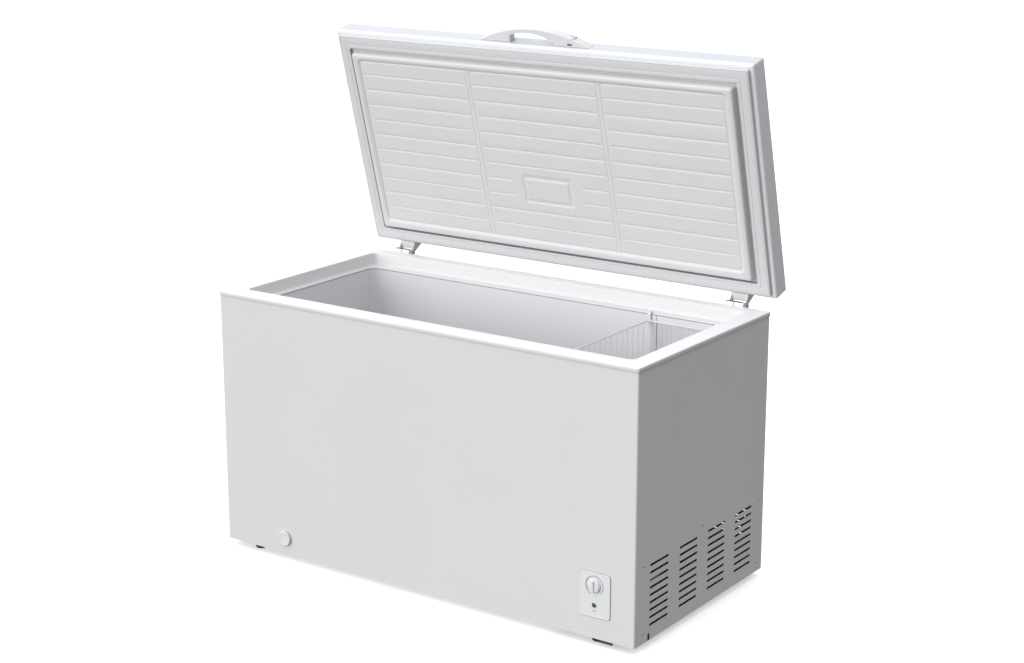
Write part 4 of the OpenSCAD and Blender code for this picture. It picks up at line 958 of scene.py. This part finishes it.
make_hinge_gap_shade()


def make_liner_seam():
    """The joint down the liner's back wall, and a grey band under the ledge as painted shade."""
    half = SEAM_W / 2
    band = (SEAM_X - half, SEAM_X + half, LINER[3] - 0.35 * MM, LINER[3] + 0.2 * MM)
    under = LEDGE_Z - LEDGE_T
    piece("liner_seam", *slab(band, SEAM_LOW, under), "cabinet", JOINT_DARK, "liner_metal")
    # A grey band just under the ledge's edge: painted shade below the overhang.
    painted_shade_band = [ring(LINER, u, z, LINER_R + u) for u, z in (
        (0.2 * MM, under + 0.5 * MM), (-0.5 * MM, under + 0.5 * MM), (-0.5 * MM, under - 1.6 * MM),
        (0.2 * MM, under - 1.9 * MM))]
    piece("liner_painted_shade_band", *loft(painted_shade_band, wrap=True), "cabinet", PAINTED_SHADE_GREY, "liner_metal", 40.0)


make_liner_seam()


def make_drain_dial():
    """The round drain dial with a softened edge and a shallow dish."""
    lo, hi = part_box("drain_dial")
    radius = (hi.x - lo.x) / 2
    axis = Vector(joints["dial_turn"]["pos_m"])
    face = axis.y
    depth = face - lo.y
    profile = [(0.30, -9.5), (0.31, 0.2), (0.96, 0.2), (1.0, 0.8), (1.0, depth / MM - 2.2),
               (0.975, depth / MM - 0.9), (0.93, depth / MM - 0.2), (0.88, depth / MM),
               (0.80, depth / MM), (0.74, depth / MM - 0.5), (0.4, depth / MM - 0.8),
               (0.0, depth / MM - 0.85)]
    body = lathe([(radius * r, d * MM) for r, d in profile], (axis.x, face, axis.z), (0, -1, 0), 64)
    obj = piece("drain_cap", *body, "dial", WHITE_PLASTIC, "white_plastic", 40.0)
    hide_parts("drain_dial")


make_drain_dial()


# ---------------------------------------------------------------- finishes on CAD nodes

SMOOTH = 32.0
slots = {p["node"]: p["material_slot"] for p in frame["record"]["subparts"]}
for name, obj in nodes.items():
    dress(obj, BY_SLOT[slots[name]], SMOOTH)

for name in ("hinge_bracket_left", "hinge_bracket_right", "hinge_leaf_left",
             "hinge_leaf_right"):
    dress(nodes[name], HINGE_WHITE, SMOOTH)
    bevel(nodes[name], 0.5 * MM, 2)
for name in ("foot_front_left", "foot_front_right", "foot_rear_left", "foot_rear_right",
             "drain_sleeve", "rear_cover", "relay_cover"):
    bevel(nodes[name], 0.4 * MM, 2, 40.0)


# ------------------------------------------------------------------- floor and lighting

def make_stage():
    """A wide pale floor that takes the object's shadow but throws no light back at it."""
    size = 60.0
    mesh = bpy.data.meshes.new("floor")
    corners = [(-size, -size, 0), (size, -size, 0), (size, size, 0), (-size, size, 0)]
    mesh.from_pydata(corners, [], [(0, 1, 2, 3)])
    floor = bpy.data.objects.new("floor", mesh)
    scene.collection.objects.link(floor)
    paint = coated("floor_paint", (0.9, 0.9, 0.9), 0.9, 40.0, 0.0)
    shader = paint.node_tree.nodes["Principled BSDF"]
    shader.inputs["Emission Color"].default_value = (1.0, 1.0, 1.0, 1.0)
    shader.inputs["Emission Strength"].default_value = 0.45
    mesh.materials.append(paint)
    floor.location.z = -0.2 * MM
    floor.visible_diffuse = False
    floor.visible_glossy = False


def make_light():
    """A broad low key from the front, and a soft sky: bright above, dim to the right and below."""
    sun = bpy.data.lights.new("key", "SUN")
    sun.energy = 1.59
    sun.angle = math.radians(36)
    key = bpy.data.objects.new("key", sun)
    scene.collection.objects.link(key)
    towards = Vector((-0.30, -0.93, 0.21))
    key.rotation_euler = towards.to_track_quat("Z", "Y").to_euler()

    world = bpy.data.worlds.new("sky")
    scene.world = world
    world.use_nodes = True
    tree = world.node_tree
    back = tree.nodes["Background"]
    place = tree.nodes.new("ShaderNodeTexCoord")
    split = tree.nodes.new("ShaderNodeSeparateXYZ")
    tree.links.new(place.outputs["Generated"], split.inputs["Vector"])

    def ramp(axis, start, end, low, high):
        node = tree.nodes.new("ShaderNodeMapRange")
        for socket, value in (("From Min", start), ("From Max", end), ("To Min", low),
                              ("To Max", high)):
            node.inputs[socket].default_value = value
        tree.links.new(split.outputs[axis], node.inputs["Value"])
        return node.outputs["Result"]

    total = tree.nodes.new("ShaderNodeMath")
    total.operation = "MULTIPLY_ADD"
    tree.links.new(ramp("X", -1.0, 1.0, 1.06, 0.275), total.inputs[0])
    tree.links.new(ramp("Z", -0.1, 0.1, 0.4, 1.0), total.inputs[1])
    tree.links.new(ramp("Z", 0.0, 1.0, 0.0, 0.65), total.inputs[2])
    tint = tree.nodes.new("ShaderNodeMix")
    tint.data_type = "RGBA"
    colours = [socket for socket in tint.inputs if socket.type == "RGBA"]
    colours[0].default_value = (1.0, 1.0, 1.0, 1.0)
    colours[1].default_value = (0.965, 0.99, 1.04, 1.0)
    tree.links.new(ramp("Z", 0.0, 1.0, 0.0, 1.0), tint.inputs["Factor"])
    tree.links.new(next(s for s in tint.outputs if s.type == "RGBA"), back.inputs["Color"])
    tree.links.new(total.outputs["Value"], back.inputs["Strength"])


make_stage()
make_light()
scene.view_settings.view_transform = "Standard"
scene.view_settings.look = "None"
